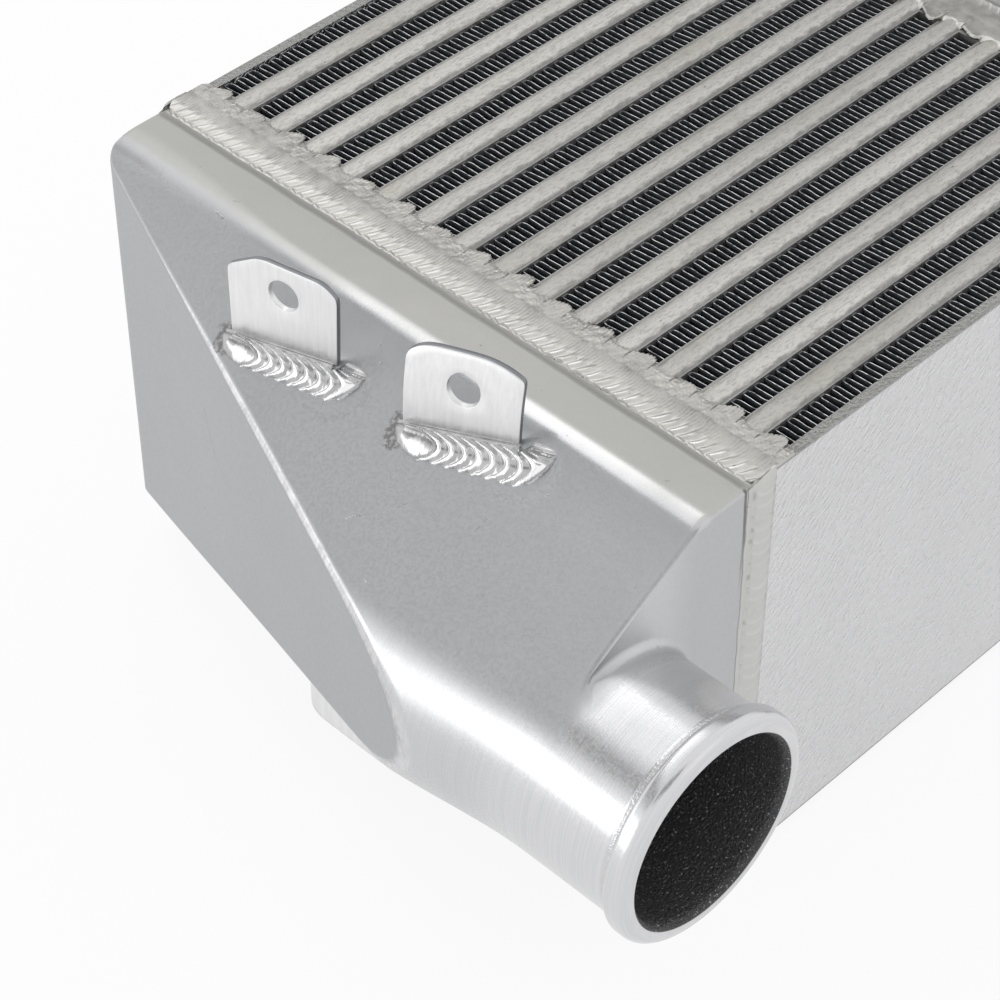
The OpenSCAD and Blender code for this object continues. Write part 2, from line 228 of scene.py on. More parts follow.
def tank_faces(d, y, z):
    """How far a point is outside the wedge, the flared side and the ground bevel between them.

    The wedge is a slope down to the nose circle, the circle and the slope back to the foot. The circle
    shifts and shrinks to the stub over the last part. The side has a rounded end in plan.
    """
    mix = smoothstep((TAPER_L - HALF_W - y) / TAPER_L)
    cd = NOSE_D + (STUB_D - NOSE_D) * mix
    cz = NOSE_Z + (STUB_Z - NOSE_Z) * mix
    r = NOSE_R + (STUB_R - NOSE_R) * mix
    under = under_angle(cd, cz, r)
    pd, pz = d - cd, z - cz
    upper_side = math.sin(SLOPE) * pd + math.cos(SLOPE) * pz - r
    lower_side = np.sin(under) * pd - np.cos(under) * pz - r
    below_slope = math.cos(SLOPE) * pd - math.sin(SLOPE) * pz > 0
    above_foot = np.cos(under) * pd + np.sin(under) * pz > 0
    wedge = np.where(below_slope & above_foot, np.hypot(pd, pz) - r, np.maximum(upper_side, lower_side))

    side = math.cos(FLARE) * d + math.sin(FLARE) * y - FLARE_C
    arc_y = HALF_W - END_R
    arc_d = (FLARE_C - END_R - math.sin(FLARE) * arc_y) / math.cos(FLARE)
    qd, qy = d - arc_d, y - arc_y
    in_end = (qd * math.sin(FLARE) - qy * math.cos(FLARE) < 0) & (qd > 0)
    beside = np.where(qy > END_R * math.sin(FLARE), d - arc_d - 1, side)
    side = np.where(in_end, np.hypot(qd, qy) - END_R, beside)

    # The bevel deepens towards the stub.
    bevel = (wedge + side) / 1.75 + 0.10 + 0.62 * smoothstep((95 - y) / 90)
    return wedge, side, bevel


def tank_level(d, y, z):
    """How far a point is outside the casting, negative inside.

    The wedge is cut by the planes of the core's upper side, its underside and its end, and by the
    bevel and the flared side, each with a small round. The round of the crest fades along the tank.
    """
    wedge, side, bevel = tank_faces(d, y, z)
    crest_round, foot_round, fold_round = 1.6 + 2.8 * smoothstep((y - 35) / 65), 0.6, 0.35
    level = smooth_max(smooth_max(wedge, z - CORE_T, crest_round), -z, foot_round)
    level = smooth_max(smooth_max(level, bevel, fold_round), side, fold_round)
    return np.maximum(level, CORE_PLANE - d)


def solve_rings(y, inset, centre_d, centre_z, rays=3600):
    """Outline of the casting at each y: bisection along rays from a point inside."""
    phi = np.pi + np.arange(rays) * 2 * np.pi / rays
    u, v = np.cos(phi)[None], np.sin(phi)[None]
    ray_length, halvings = 140.0, 34
    low, high = np.zeros((len(y), rays)), np.full((len(y), rays), ray_length)
    yy, cd, cz, ins = y[:, None], centre_d[:, None], centre_z[:, None], inset[:, None]
    for _ in range(halvings):
        mid = (low + high) / 2
        inside = tank_level(cd + mid * u, yy, cz + mid * v) + ins < 0
        low, high = np.where(inside, mid, low), np.where(inside, high, mid)
    return cd + low * u, cz + low * v


def even_by_turning(d, z, count, share=0.55):
    """Resamples closed outlines, one a row, so that a share of the points goes to where they turn.

    The weights are averaged over neighbouring outlines, so points run on smoothly from one to the next.
    """
    close = lambda a: np.concatenate([a, a[:, :1]], 1)
    step_d, step_z = np.diff(close(d)), np.diff(close(z))
    length = np.hypot(step_d, step_z)
    sharpest = 0.09
    heading = np.unwrap(np.arctan2(step_z, step_d))
    turn = np.abs(np.diff(np.concatenate([heading, heading[:, :1] + 2 * np.pi], 1)))
    turn = np.minimum(turn, sharpest)
    turn = sum(np.roll(turn, k, 1) for k in range(-4, 5)) / 9
    weight = (1 - share) * length / length.sum(1)[:, None] + share * turn / turn.sum(1)[:, None]
    padded = np.concatenate([weight[:1]] * 4 + [weight] + [weight[-1:]] * 4)
    weight = sum(padded[k:k + len(weight)] for k in range(9)) / 9
    at = np.concatenate([np.zeros((len(d), 1)), np.cumsum(weight, 1)], 1)
    want = np.arange(count) / count
    even = lambda a: np.stack([np.interp(want * at[j, -1], at[j], a[j]) for j in range(len(a))])
    return even(close(d)), even(close(z))


def end_face_rings(edge):
    """Rings from the last outline to the stub, as radius from the stub's axis and place along y.

    Where the outline stands clear of the stub they run over a rounded edge, across the end face and
    round a fillet. Where it is flush with the stub they run straight along it.
    """
    gap = np.maximum(edge - STUB_R, 0)
    drop = np.minimum(1.6, gap * 0.35)
    crease, root = 0.564 * drop, np.minimum(2.6, gap * 0.5)
    arc_end = 0.9
    run = np.linspace(0, arc_end, 11)[1:, None]
    across = np.linspace(0, 1, 12)[1:, None]
    quarter = np.linspace(0, np.pi / 2, 12)[1:, None]
    rad = np.concatenate([edge - drop * (1 - np.sqrt(1 - run * run)),
                          (edge - crease) + (STUB_R + root - edge + crease) * across,
                          STUB_R + root * (1 - np.sin(quarter))])
    off = np.concatenate([END_ROLL - HALF_W - END_ROLL * run / arc_end + 0 * drop,
                          -HALF_W + 0 * across * drop,
                          -HALF_W - root * (1 - np.cos(quarter))])
    tube = np.linspace(0, 1, len(rad) + 1)[1:, None]
    tube_rad = edge + (STUB_R - edge) * tube
    tube_off = END_ROLL - HALF_W - 8.4 * tube
    weight = smoothstep(gap / 2.5)[None]
    return tube_rad + (rad - tube_rad) * weight, tube_off + (off - tube_off) * weight


def stub_profile():
    """Stub, lip, face, chamfer and bore, as radius and distance from the mouth.

    Returned with how many points come before the neck and how many are inside the bore.
    """
    a = np.radians(np.linspace(60, 0, 6))
    back = np.stack([LIP_R - LIP_ROUND * (1 - np.cos(a)), LIP_W - LIP_ROUND * (1 - np.sin(a))], -1)
    a = np.radians(np.linspace(0, 90, 12))
    front = np.stack([LIP_R - LIP_FRONT * (1 - np.cos(a)), LIP_FRONT * (1 - np.sin(a))], -1)
    outside = np.array([[STUB_R, s] for s in (29.5, 26, 22, 18, 14, 11, 9.2, 8.4)])
    neck = np.array([[STUB_R - 0.12, 8.0], [STUB_R - 0.1, 7.7], [STUB_R + 0.35, 7.3]])
    face = np.array([[30.4, 0], [29.8, 0], [BORE_R + 1.45, 0], [BORE_R + 1.25, 0.06], [BORE_R + 0.75, 0.6],
                     [BORE_R + 0.2, 1.5], [BORE_R, 2.2]])
    inner = np.array([[BORE_R, s] for s in (3.5, 8, 16, 28, 42, 60, 80, 94)] + [[26, 95], [12, 95]])
    return np.concatenate([outside, neck, back, front, face, inner]), len(outside), len(inner)


def tank_skin(count=352):
    """Skin of the near tank and the four zone weights of each point.

    Rings of points run from the shallow end to the end face, over it and its fillet to the stub, round
    the lip and down the bore. Zones: ground bevel, brushed stub, bore, neck behind the lip.
    """
    y = np.concatenate([
        HALF_W - np.array([0, 0.12, 0.35, 0.7, 1.1]),
        HALF_W - np.array([1.8, 2.6, 3.6, 4.8, 6.2, 8, 10]),
        np.arange(99, -26, -2.5), np.arange(-27, 2.6 - HALF_W, -1.15), [END_ROLL - HALF_W]])
    inset = np.zeros_like(y)
    inset[:5] = [1.0, 0.55, 0.25, 0.06, 0]
    t = smoothstep((95 - y) / 175)
    start_d, start_z = 19, 80
    centre_d, centre_z = start_d + (STUB_D - start_d) * t, start_z + (STUB_Z - start_z) * t
    ring_d, ring_z = solve_rings(y, inset, centre_d, centre_z)
    body = np.empty((len(y), count, 3))
    body[..., 0], body[..., 2] = even_by_turning(ring_d, ring_z, count)
    body[..., 1] = y[:, None]

    # The rest lies on the same rays from the stub's axis.
    last = body[-1]
    phi = np.arctan2(last[:, 2] - STUB_Z, last[:, 0] - STUB_D)
    rad, off = end_face_rings(np.hypot(last[:, 0] - STUB_D, last[:, 2] - STUB_Z))
    profile, outside, inner = stub_profile()
    rad = np.concatenate([rad, np.repeat(profile[:, :1], count, 1)])
    off = np.concatenate([off, -HALF_W - STUB_L + np.repeat(profile[:, 1:], count, 1)])
    tail = np.stack([STUB_D + rad * np.cos(phi), off, STUB_Z + rad * np.sin(phi)], -1)
    rings = np.concatenate([body, tail])

    wedge, side, bevel = tank_faces(body[..., 0], body[..., 1], body[..., 2])
    zones = np.zeros(rings.shape[:2] + (4,))
    zones[:len(y), :, 0] = smoothstep(1 - np.abs(bevel) / 0.12) * (np.abs(wedge - side) < 8)
    # The brushing runs round the nose and widens towards the stub.
    angle = np.degrees(np.arctan2(body[..., 2] - NOSE_Z, body[..., 0] - NOSE_D))
    to_stub = smoothstep((24 - HALF_W - y) / 26)[:, None]
    brushed = 0.6 * smoothstep((56 - angle) / 10) * smoothstep((angle + 40) / 12)
    wider = to_stub * smoothstep((58 - angle) / 10) * smoothstep((angle + 95) / 25)
    brushed = brushed + (1 - brushed) * wider
    zones[:len(y), :, 1] = brushed * (side < -0.4)
    zones[len(y):, :, 1] = np.maximum(zones[len(y) - 1, :, 1][None], smoothstep((-HALF_W - 1 - off) / 6))
    # The bore, which the material paints near black as shade.
    zones[-inner - 4:, :, 2] = 1
    neck = len(rings) - len(profile) + outside
    # The neck behind the lip, which the material paints with shade.
    zones[neck - 1:neck + 4, :, 3] = 1
    flat = np.concatenate([zones.reshape(-1, 4), zones[0].mean(0)[None], zones[-1].mean(0)[None]])
    return outward(*closed_tube(near_place(rings))), flat


# Seam weld


def row_y(i):
    """Middle of cooling-air row i, counted from the shallow side, along the stack from its middle."""
    return HALF_W - SIDE_T - FIN_H / 2 - (i - 1) * ROW_PITCH


def hump(x, lean=0.8):
    """A row of smooth humps from 0 to 1, each leaning towards its end."""
    return 0.5 - 0.5 * np.cos(2 * np.pi * (x - np.floor(x)) ** lean)


def scales(across, along, width, fine, coarse, seed):
    """Height of a weld's scales: discs laid one over the next along the bead, a fine set on a coarse set.

    Returned are the heights of the fine and the coarse set and a painted highlight, thin bright crescents
    at some of the coarse edges. The edges are circle arcs that bulge against the direction of along.
    """
    x = np.clip(across / (width / 2), -1, 1)
    bow = width * 0.42 * (1 - np.sqrt(np.maximum(1 - 0.97 * x * x, 0)))
    s = along - bow + 0.5 * ripple(along * 0.5, seed)
    wobble = 0.2 * ripple(along * 0.9 + across * 1.3, seed + 1)
    small = hump(-(s + wobble) / fine, 0.6) - 0.5
    turn = -s / coarse
    own = smoothstep(0.6 + ripple(np.floor(turn) * 2.3, seed + 3, 1))
    # Painted highlight: glints on the crescents at some coarse edges.
    bright = smoothstep((0.13 - np.abs(turn - np.floor(turn) - 0.24)) / 0.09) * own
    return 0.045 * small * (1 + 0.5 * ripple(along * 0.7, seed + 2)), hump(turn, 0.6) - 0.4, bright


def reach_of_tongues(y):
    """How far the weld runs over the rows' ends, as a depth: ragged tongues on the fins, none on bars."""
    reach = -1.8 + 0.8 * ripple(y * 1.3, 5) + 0.3 * ripple(y * 7.0, 6, 1)
    on_fin = np.zeros_like(y)
    for i in range(1, ROWS + 1):
        t = (y - row_y(i)) / FIN_H
        long = 2.9 + 0.9 * math.sin(i * 2.3) + 0.5 * math.sin(i * 5.1)
        shape = np.interp(-t, [-0.52, -0.45, -0.25, 0.0, 0.25, 0.42, 0.52],
                          [0.15, 0.3, 0.5, 0.85, 1.0, 0.8, 0.3])
        jag = 0.6 * np.abs(ripple(y * 5.3, 40 + i, 2)) + 0.5 * np.abs(np.sin(y * 2.9 + i))
        jag = jag + 0.35 * ripple(y * 21, 60 + i, 1)
        row = np.abs(t) < 0.52
        reach = np.where(row, 0.1 - long * shape - jag, reach)
        on_fin = np.where(row, 1.0, on_fin)
    return reach, on_fin


def face_bead(seed, stations, columns, ragged=True):
    """Weld along the upper edge of the joint, and its painted highlight at each point.

    It is a dome over depth and length, with scales and, where ragged, with tongues on the fins.
    """
    middle, half_span = 8.2, 7.7
    y = np.linspace(HALF_W - 0.05, -HALF_W + 0.05, stations)
    lo, on_fin = reach_of_tongues(y) if ragged else (np.full_like(y, 0.3), np.zeros_like(y))
    hi = 15.7 + 0.35 * ripple(y * 0.55, seed + 3)
    hi = hi - 5.0 * (1 - np.sqrt(1 - np.clip((y - HALF_W + 5) / 5, 0, 1) ** 2))
    hi = hi - 3.0 * (1 - np.sqrt(1 - np.clip((4 - HALF_W - y) / 4, 0, 1) ** 2))
    # Columns crowd together at the ragged edge.
    a = np.linspace(0, 1, columns) ** 1.15
    d = lo[:, None] + (hi - lo)[:, None] * a[None]
    yy = np.repeat(y[:, None], columns, 1)
    span = np.clip((d - middle) / half_span, -1, 1)
    dome = 1.35 * np.maximum(1 - np.abs(span) ** 2.8, 0) ** 0.75
    on_fin = on_fin[:, None]
    edge = np.sqrt(np.clip((d - lo[:, None]) / (2.2 - 1.7 * on_fin), 0, 1))
    dome = np.where(d < middle, np.maximum(dome, 1.26), dome) * (edge + (1 - edge) * 0.55 * on_fin)
    small, large, bright = scales(d - 8.4, yy, width=15.0, fine=1.05, coarse=3.3, seed=seed)
    inner = edge * smoothstep((15.6 - d) / 0.8)
    tank_half = smoothstep((d - 10) / 2.5)
    uneven = 0.75 + 0.35 * ripple(yy * 0.9 + d * 0.8, seed + 12, 2)
    height = dome + inner * (small * uneven + 0.30 * large * tank_half)
    lumps = 0.22 * ripple(d * 1.6 + 2 * ripple(yy * 0.9, seed + 7), seed + 8, 2)
    lumps = lumps * ripple(yy * 1.7, seed + 9, 2)
    height = np.clip(height + lumps * smoothstep((7 - d) / 3) * edge, 0.05, BEAD_TOP)
    height[:, -1] = -0.3
    # Painted highlight of the crescents on the tank side of the bead.
    bright = bright * inner * smoothstep((d - 10.5) / 1.5) * smoothstep((14.9 - d) / 0.5)
    top = np.stack([d, yy, CORE_T + height], -1)
    low = np.stack([d, yy, np.full_like(d, CORE_T - 0.45)], -1)[:, ::-1]
    return np.concatenate([top, low[:, ::UNDER_STEP]], 1), bright


def corner_bead(end, seed, stations, columns):
    """Weld down a side plate, a dome over depth and height, and the faint painted highlight of its arcs."""
    full_width = 10.6
    z = np.linspace(-1.4, CORE_T + 1.5, stations)
    width = full_width + 0.3 * ripple(z * 0.3, seed)
    a = np.linspace(0, 1, columns)
    d = 6.35 + width[:, None] * a[None] + 0.15 * ripple(z * 0.8, seed + 4)[:, None]
    # The upper end is round: the heights are stretched up to reach.
    reach = CORE_T - 0.5 + 2.0 * np.sqrt(np.maximum(1 - (a / 0.86) ** 3, 0))
    z, middle = z[:, None], CORE_T / 2
    zz = np.where(z > middle, middle + (z - middle) * (reach - middle) / (middle + 1.5), z)
    span = np.clip(2 * a[None] / 0.8 - 1, -1, 1)
    dome = 0.22 * smoothstep((1 - a[None]) / 0.06) + 1.25 * np.maximum(1 - np.abs(span) ** 2.2, 0) ** 0.6
    across = (a[None] - 0.4) * full_width + 0 * zz
    small, large, bright = scales(across, zz, width=9.0, fine=1.5, coarse=4.2, seed=seed)
    inner = smoothstep((1 - np.abs(span)) * 5)
    height = dome + (3.0 * small + 0.12 * large) * inner
    closing = np.sqrt(np.clip((CORE_T + 1.55 - zz) / 3, 0, 1) * np.clip((zz + 1.45) / 3, 0, 1))
    height = np.clip(height * closing, 0.0, BEAD_TOP)
    top = np.stack([d, end * (HALF_W + height), zz], -1)
    low = np.stack([d, np.full_like(d, end * (HALF_W - 0.4)), zz], -1)[:, ::-1]
    return np.concatenate([top, low[:, ::UNDER_STEP]], 1), bright * 0.15 * inner


def seam_skin(seed, fine):
    """Four beads of the near seam weld and their zones: painted highlight of the crescents, side beads,
    painted shade at the toe.
    """
    under, under_glint = face_bead(seed + 20, stations=330, columns=26, ragged=False)
    under = under * [1, 1, -1] + [0, 0, CORE_T]
    beads = ((*face_bead(seed, stations=1320 if fine else 420, columns=48), 0), (under, under_glint, 0),
             (*corner_bead(-1, seed + 30, stations=320 if fine else 260, columns=26), 1),
             (*corner_bead(1, seed + 40, stations=220, columns=22), 1))
    parts, zones = [], []
    for rings, bright, side in beads:
        parts.append(outward(*closed_tube(rings)))
        columns = bright.shape[1]
        zone = np.zeros((*rings.shape[:2], 4))
        # Zone 0 carries the painted highlight of the crescents.
        zone[:, :columns, 0] = bright
        zone[..., 1] = side
        # Painted shade along the toe of each bead.
        zone[:, columns - 1:columns + 1, 2] = 1
        zones.append(np.concatenate([zone.reshape(-1, 4), np.zeros((2, 4))]))
    return near_skin(*joined(*parts)), np.concatenate(zones)


# Tabs and their welds


def tab_place(tab, x, out, z):
    """Tab frame to tank frame: x along the tab towards the stub, out from its outer face, z up."""
    sin_t, cos_t = math.sin(math.radians(tab.turn)), math.cos(math.radians(tab.turn))
    return np.stack([tab.depth - x * sin_t + out * cos_t, tab.y - x * cos_t - out * sin_t, z + 0 * x], -1)


def slope_height(d):
    """Height of the upper slope at a depth."""
    return CORE_T - (d - CREST_D) * math.tan(SLOPE)


def tab_root(tab, x):
    """Height of the casting at the root of a tab, at x along it."""
    if tab.below:
        return (tab.depth - FOOT_D) * math.tan(under_angle(NOSE_D, NOSE_Z, NOSE_R)) + 0 * x
    return slope_height(tab.depth - x * math.sin(math.radians(tab.turn)))


def tab_outline(tab, datum, low, inset, count=144):
    """Outline of a tab seen square on, on rays from its hole: straight edges with rounded corners."""
    phi = np.arange(count) * 2 * np.pi / count
    u, v = np.cos(phi), np.sin(phi)
    ray_length, halvings, corner = 80.0, 40, 1.6
    lo, hi = np.zeros(count), np.full(count, ray_length)
    for _ in range(halvings):
        mid = (lo + hi) / 2
        x, z = tab.hole_x + mid * u, datum + tab.hole_z + mid * v
        level = low(x) - z
        for a, b, at_x, at_z in tab.edges:
            level = smooth_max(level, (a * (x - at_x) + b * (z - datum - at_z)) / math.hypot(a, b), corner)
        inside = level + inset < 0
        lo, hi = np.where(inside, mid, lo), np.where(inside, hi, mid)
    return tab.hole_x + lo * u, datum + tab.hole_z + lo * v


def tab_skin(tab):
    """Plate with a hole: a ring of points runs from the hole over the face, the edge and the back.

    The plate leans back by the square of its height. A tab below is made upside down and turned over.
    Zones: sheared edge, which the material paints dark as shade.
    """
    up = -1 if tab.below else 1
    datum = LOWER_TAB_H - tab_root(tab, 0) if tab.below else CORE_T
    edge, rim_cut = 0.35, 0.3
    low = lambda x: up * tab_root(tab, x) - TAB_SINK
    full, less = tab_outline(tab, datum, low, 0), tab_outline(tab, datum, low, edge)
    phi = np.arange(len(full[0])) * 2 * np.pi / len(full[0])
    hole = lambda r: (tab.hole_x + r * np.cos(phi), datum + tab.hole_z + r * np.sin(phi))
    mid = lambda p, q, t: (p[0] + (q[0] - p[0]) * t, p[1] + (q[1] - p[1]) * t)
    rim = hole(HOLE_R + rim_cut)
    steps = [(hole(HOLE_R), -TAB_T + rim_cut), (hole(HOLE_R), -rim_cut), (hole(HOLE_R + 0.09), -0.09),
             (rim, 0)]
    steps += [(mid(rim, less, t), 0) for t in (0.25, 0.5, 0.75, 1)]
    first_edge = len(steps) + 1
    steps += [(mid(less, full, 0.7), -0.1), (full, -edge), (full, -TAB_T + edge),
              (mid(less, full, 0.7), -TAB_T + 0.1)]
    steps += [(mid(less, rim, t), -TAB_T) for t in (0, 0.25, 0.5, 0.75, 1)]
    steps += [(hole(HOLE_R), -TAB_T + rim_cut)]
    bend = lambda z: -tab.lean * np.maximum((z - datum + LEAN_FROM) / (LEAN_FROM + TAB_RISE), 0) ** 2
    rings = np.stack([tab_place(tab, p[0], out + bend(p[1]), p[1]) for p, out in steps])
    n, k = rings.shape[:2]
    zones = np.zeros((n - 1, k, 4))
    # The sheared edge rings, which the material paints dark as shade.
    zones[first_edge:first_edge + 2, :, 0] = 1
    points = rings[:-1].reshape(-1, 3) * [1, 1, up]
    return near_skin(points, grid_quads(n, k) % ((n - 1) * k), np.zeros((0, 3), int)), zones


def tab_weld_skin(tab):
    """Weld at the foot of a tab: a low dome of overlapping drops that ends in a round curl.

    The dome's height is a sine of the way across. Each drop is a hump of x minus a bow, so its front
    edge is an arc that bulges along the bead. Zones: painted highlights, bright crescents between the drops
    and a bright middle of the first one.
    """
    angle = under_angle(NOSE_D, NOSE_Z, NOSE_R) if tab.below else SLOPE
    up = 1 if tab.below else -1
    # Directions along the casting and square to it, as (out, height).
    along, square = (math.cos(angle), up * math.sin(angle)), (math.sin(angle), -up * math.cos(angle))
    stations, columns, seed = 420, 44, tab.seed
    length = TAB_W - 1
    first, last = -2.6, length + 10.5
    x = np.linspace(first, last, stations)
    xx, pp = np.meshgrid(x, np.linspace(0, 1, columns), indexing="ij")
    left, right = np.clip((x - first) / 12, 0, 1), np.clip((last - x) / 9, 0, 1)
    left_end = np.sqrt(np.clip(1 - (1 - left) ** 2.2, 0, 1))
    right_end = np.sqrt(np.clip(1 - (1 - right) ** 2, 0, 1))
    wide = tab.reach * (0.92 + 0.22 * x / length) * left_end * right_end
    wide = wide * (1 + 0.03 * ripple(x * 1.7, seed + 3)) + 0.02
    curl = -3.2 * smoothstep((x - length - 0.5) / 3) * right_end
    start = curl - 0.9 * (x < length - 0.2)
    out = start[:, None] + (wide - start)[:, None] * pp
    q = np.clip(out / wide[:, None], 0, 1)

    # t counts the drops; its whole part is a drop's number.
    bow = 9.0 * (1 - (2 * q - 1) ** 2) + 2.5 * q
    t = (xx - bow + 0.5 * ripple(xx * 0.45, seed)) / DROP_PITCH - 0.42
    rise = np.where(t > 0, hump(t, 0.6), 1 - smoothstep((t + 0.15) / 0.15))
    belly = np.sin(np.pi * q ** 1.4)
    own = np.where(np.floor(t) < 7, 0.75 + 0.35 * ripple(np.floor(t) * 2.7, seed + 5, 1), 1.5)
    # Painted highlight: bright crescents between the drops.
    bright = smoothstep((0.02 + 0.26 * belly * own - np.abs(t - np.floor(t) - 0.27)) / 0.10)
    bright = bright * smoothstep(t / 0.1) * smoothstep(q * 6) * smoothstep((1 - q) * 5) * (t < 8)
    # Painted highlight: a bright patch in the middle of the first drop.
    blob = np.hypot(xx - 6.4, 1.1 * (out - 0.6 * wide[:, None])) + 0.4 * ripple(xx * 1.9 + out, seed + 6)
    bright = np.maximum(bright, smoothstep((2.9 - blob) / 0.9))

    ends = np.sqrt(np.clip(np.minimum(x - first, last - x) / 4, 0, 1))[:, None]
    rim = smoothstep((1 - pp) * 6) * np.where(xx > length + 0.4, smoothstep(pp * 6), 1)
    dome = 0.9 * (1 - q) + 2.2 * np.sin(np.pi * q ** 0.8)
    height = ends * rim * (dome + 0.5 * (rise - 0.4) * smoothstep(q * 8)) - 0.12

    def lifted(height):
        return np.stack([xx, out * along[0] + height * square[0],
                         tab_root(tab, xx) + out * along[1] + height * square[1]], -1)

    underside = lifted(-0.6)[:, ::-6]
    ring = np.concatenate([lifted(height), underside], 1)
    zones = np.zeros((ring.shape[0] * ring.shape[1] + 2, 4))
    zones[:-2, 0] = np.concatenate([bright, np.zeros(underside.shape[:2])], 1).ravel()
    placed = tab_place(tab, ring[..., 0], ring[..., 1], ring[..., 2])
    return near_skin(*closed_tube(placed)), zones


# Folded fins


def fin_skin(i):
    """Cooling-air fin of row i: a strip folded into a nearly square wave, carried down through the core.

    The wave is a list of walls; each runs from one sheet to the other on a slight S, and short flat crests
    join them. Its two sides lie half the stock to the left and right of the middle line.
    """
    rng = np.random.default_rng(100 + i)
    folds = int(2 * FIN_X / FIN_PITCH * 2)
    start = -FIN_X + 0.8
    h = FIN_H / 2 - FIN_STOCK / 2
    k = np.arange(folds)
    base = start + k * FIN_PITCH / 2 + rng.normal(0, 0.07, folds)
    half_crest = 0.28
    lean = np.where(k % 2 == 0, 1, -1) * half_crest
    bend = 0.16 + rng.normal(0, 0.10, folds) + 0.14 * np.sin(k * 0.11 + i)
    tilt = rng.normal(0, 0.12, folds) + 0.25 * np.sin(k * 0.05 + 2 * i)
    t = np.array([0, 0.03, 0.09, 0.2, 0.35, 0.5, 0.65, 0.8, 0.91, 0.97, 1.0])
    side = np.where(k % 2 == 0, 1, -1)[:, None]
    s = np.where(side > 0, t[None], 1 - t[None])
    # Corners are pulled along x towards the crest they join.
    corner = 0.30 * (smoothstep((t - 0.86) / 0.14) - smoothstep((0.14 - t) / 0.14))[None]
    x = base[:, None] + lean[:, None] * (2 * s - 1) * side * 0.9 + corner
    x = x + bend[:, None] * np.sin(2 * np.pi * s) * 0.45 + tilt[:, None] * (s - 0.5)
    y = h * (1 - 2 * s)
    y = np.where((t < 0.02) | (t > 0.98), np.sign(y) * h, y * 0.99)
    path = np.stack([x.ravel(), y.ravel()], -1)
    step = np.gradient(path, axis=0)
    step_length = np.maximum(np.hypot(step[:, 0], step[:, 1]), 1e-6)
    normal = np.stack([-step[:, 1], step[:, 0]], -1) / step_length[:, None]
    left, right = path + normal * FIN_STOCK / 2, path - normal * FIN_STOCK / 2
    for edge in (left, right):
        edge[:, 1] = np.clip(edge[:, 1], -FIN_H / 2, FIN_H / 2)
    n = len(path)
    levels = np.array([CORE_T - FIN_INSET, CORE_T - 3, FIN_INSET])
    rows = []
    for z in levels:
        for edge in (left, right):
            across = edge[:, 1] + row_y(i) + STACK_Y
            rows.append(np.stack([edge[:, 0], across, np.full(n, z + BOTTOM_Z)], -1))
    points = np.concatenate(rows)
    line = lambda level, s: (2 * level + s) * n + np.arange(n)

    def band(a, b):
        return np.stack([a[:-1], a[1:], b[1:], b[:-1]], -1)

    quads = [band(line(0, 0), line(0, 1)), band(line(2, 1), line(2, 0))]
    for level in (0, 1):
        quads += [band(line(level + 1, 0), line(level, 0)), band(line(level, 1), line(level + 1, 1))]
        for at in (0, n - 1):
            end = [line(level, 0)[at], line(level, 1)[at], line(level + 1, 1)[at], line(level + 1, 0)[at]]
            quads.append(np.array([end if at == 0 else end[::-1]]))
    return outward(points, np.concatenate(quads), np.zeros((0, 3), int))


# Shader nodes

# Places and distances are in millimetres, apart from the coordinates themselves, which are in metres.
# A function that takes a socket puts its nodes into that socket's tree.


def feed(node, inputs):
    """Fills a node's inputs with numbers, colours or other nodes' outputs."""
    for key, value in inputs.items():
        if isinstance(value, bpy.types.NodeSocket):
            node.id_data.links.new(value, node.inputs[key])
        else:
            node.inputs[key].default_value = value


def put(tree, kind, inputs=None, **settings):
    """Adds a node, sets it up and fills its inputs."""
    node = tree.nodes.new(kind)
    for key, value in settings.items():
        setattr(node, key, value)
    feed(node, inputs or {})
    return node


def new_material(name, kind="ShaderNodeBsdfPrincipled"):
    """Material with one shader, which is returned too, with the object's coordinates in metres."""
    material = bpy.data.materials.new(name)
    material.use_nodes = True
    tree = material.node_tree
    tree.nodes.clear()
    shader = put(tree, kind)
    put(tree, "ShaderNodeOutputMaterial", {"Surface": shader.outputs[0]})
    return material, shader, put(tree, "ShaderNodeTexCoord").outputs["Object"]


def calc(operation, *values):
    """Math node over values of which at least one is a socket."""
    tree = next(value.id_data for value in values if isinstance(value, bpy.types.NodeSocket))
    return put(tree, "ShaderNodeMath", dict(enumerate(values)), operation=operation).outputs[0]


def times(*values):
    """Product of sockets and numbers."""
    return reduce(lambda a, b: calc("MULTIPLY", a, b), values)


def plus(*values):
    """Sum of sockets and numbers."""
    return reduce(lambda a, b: calc("ADD", a, b), values)


def minus(a, b):
    return calc("SUBTRACT", a, b)


def larger(a, b):
    return calc("MAXIMUM", a, b)


def smaller(a, b):
    return calc("MINIMUM", a, b)


def between(value, a0, a1, b0=0.0, b1=1.0, curve="SMOOTHSTEP"):
    """value from a0..a1 to b0..b1, clamped."""
    inputs = {"Value": value, "From Min": a0, "From Max": a1, "To Min": b0, "To Max": b1}
    return put(value.id_data, "ShaderNodeMapRange", inputs, interpolation_type=curve).outputs[0]


def window(value, low, low_full, high_full, high):
    """1 from low_full to high_full, with a smooth fall to 0 at low and at high."""
    return times(between(value, low, low_full), between(value, high, high_full))


def noise(where, scale, stretch=(1, 1, 1), turn=(0, 0, 0), detail=4, roughness=0.6):
    """Noise with about scale spots a metre, turned; a stretch below 1 draws it out along that axis."""
    mapped = put(where.id_data, "ShaderNodeMapping", {
        "Vector": where, "Scale": [1 / s for s in stretch], "Rotation": turn}, vector_type="TEXTURE")
    texture = put(where.id_data, "ShaderNodeTexNoise", {
        "Vector": mapped.outputs[0], "Scale": scale, "Detail": detail, "Roughness": roughness})
    return texture.outputs["Fac"]


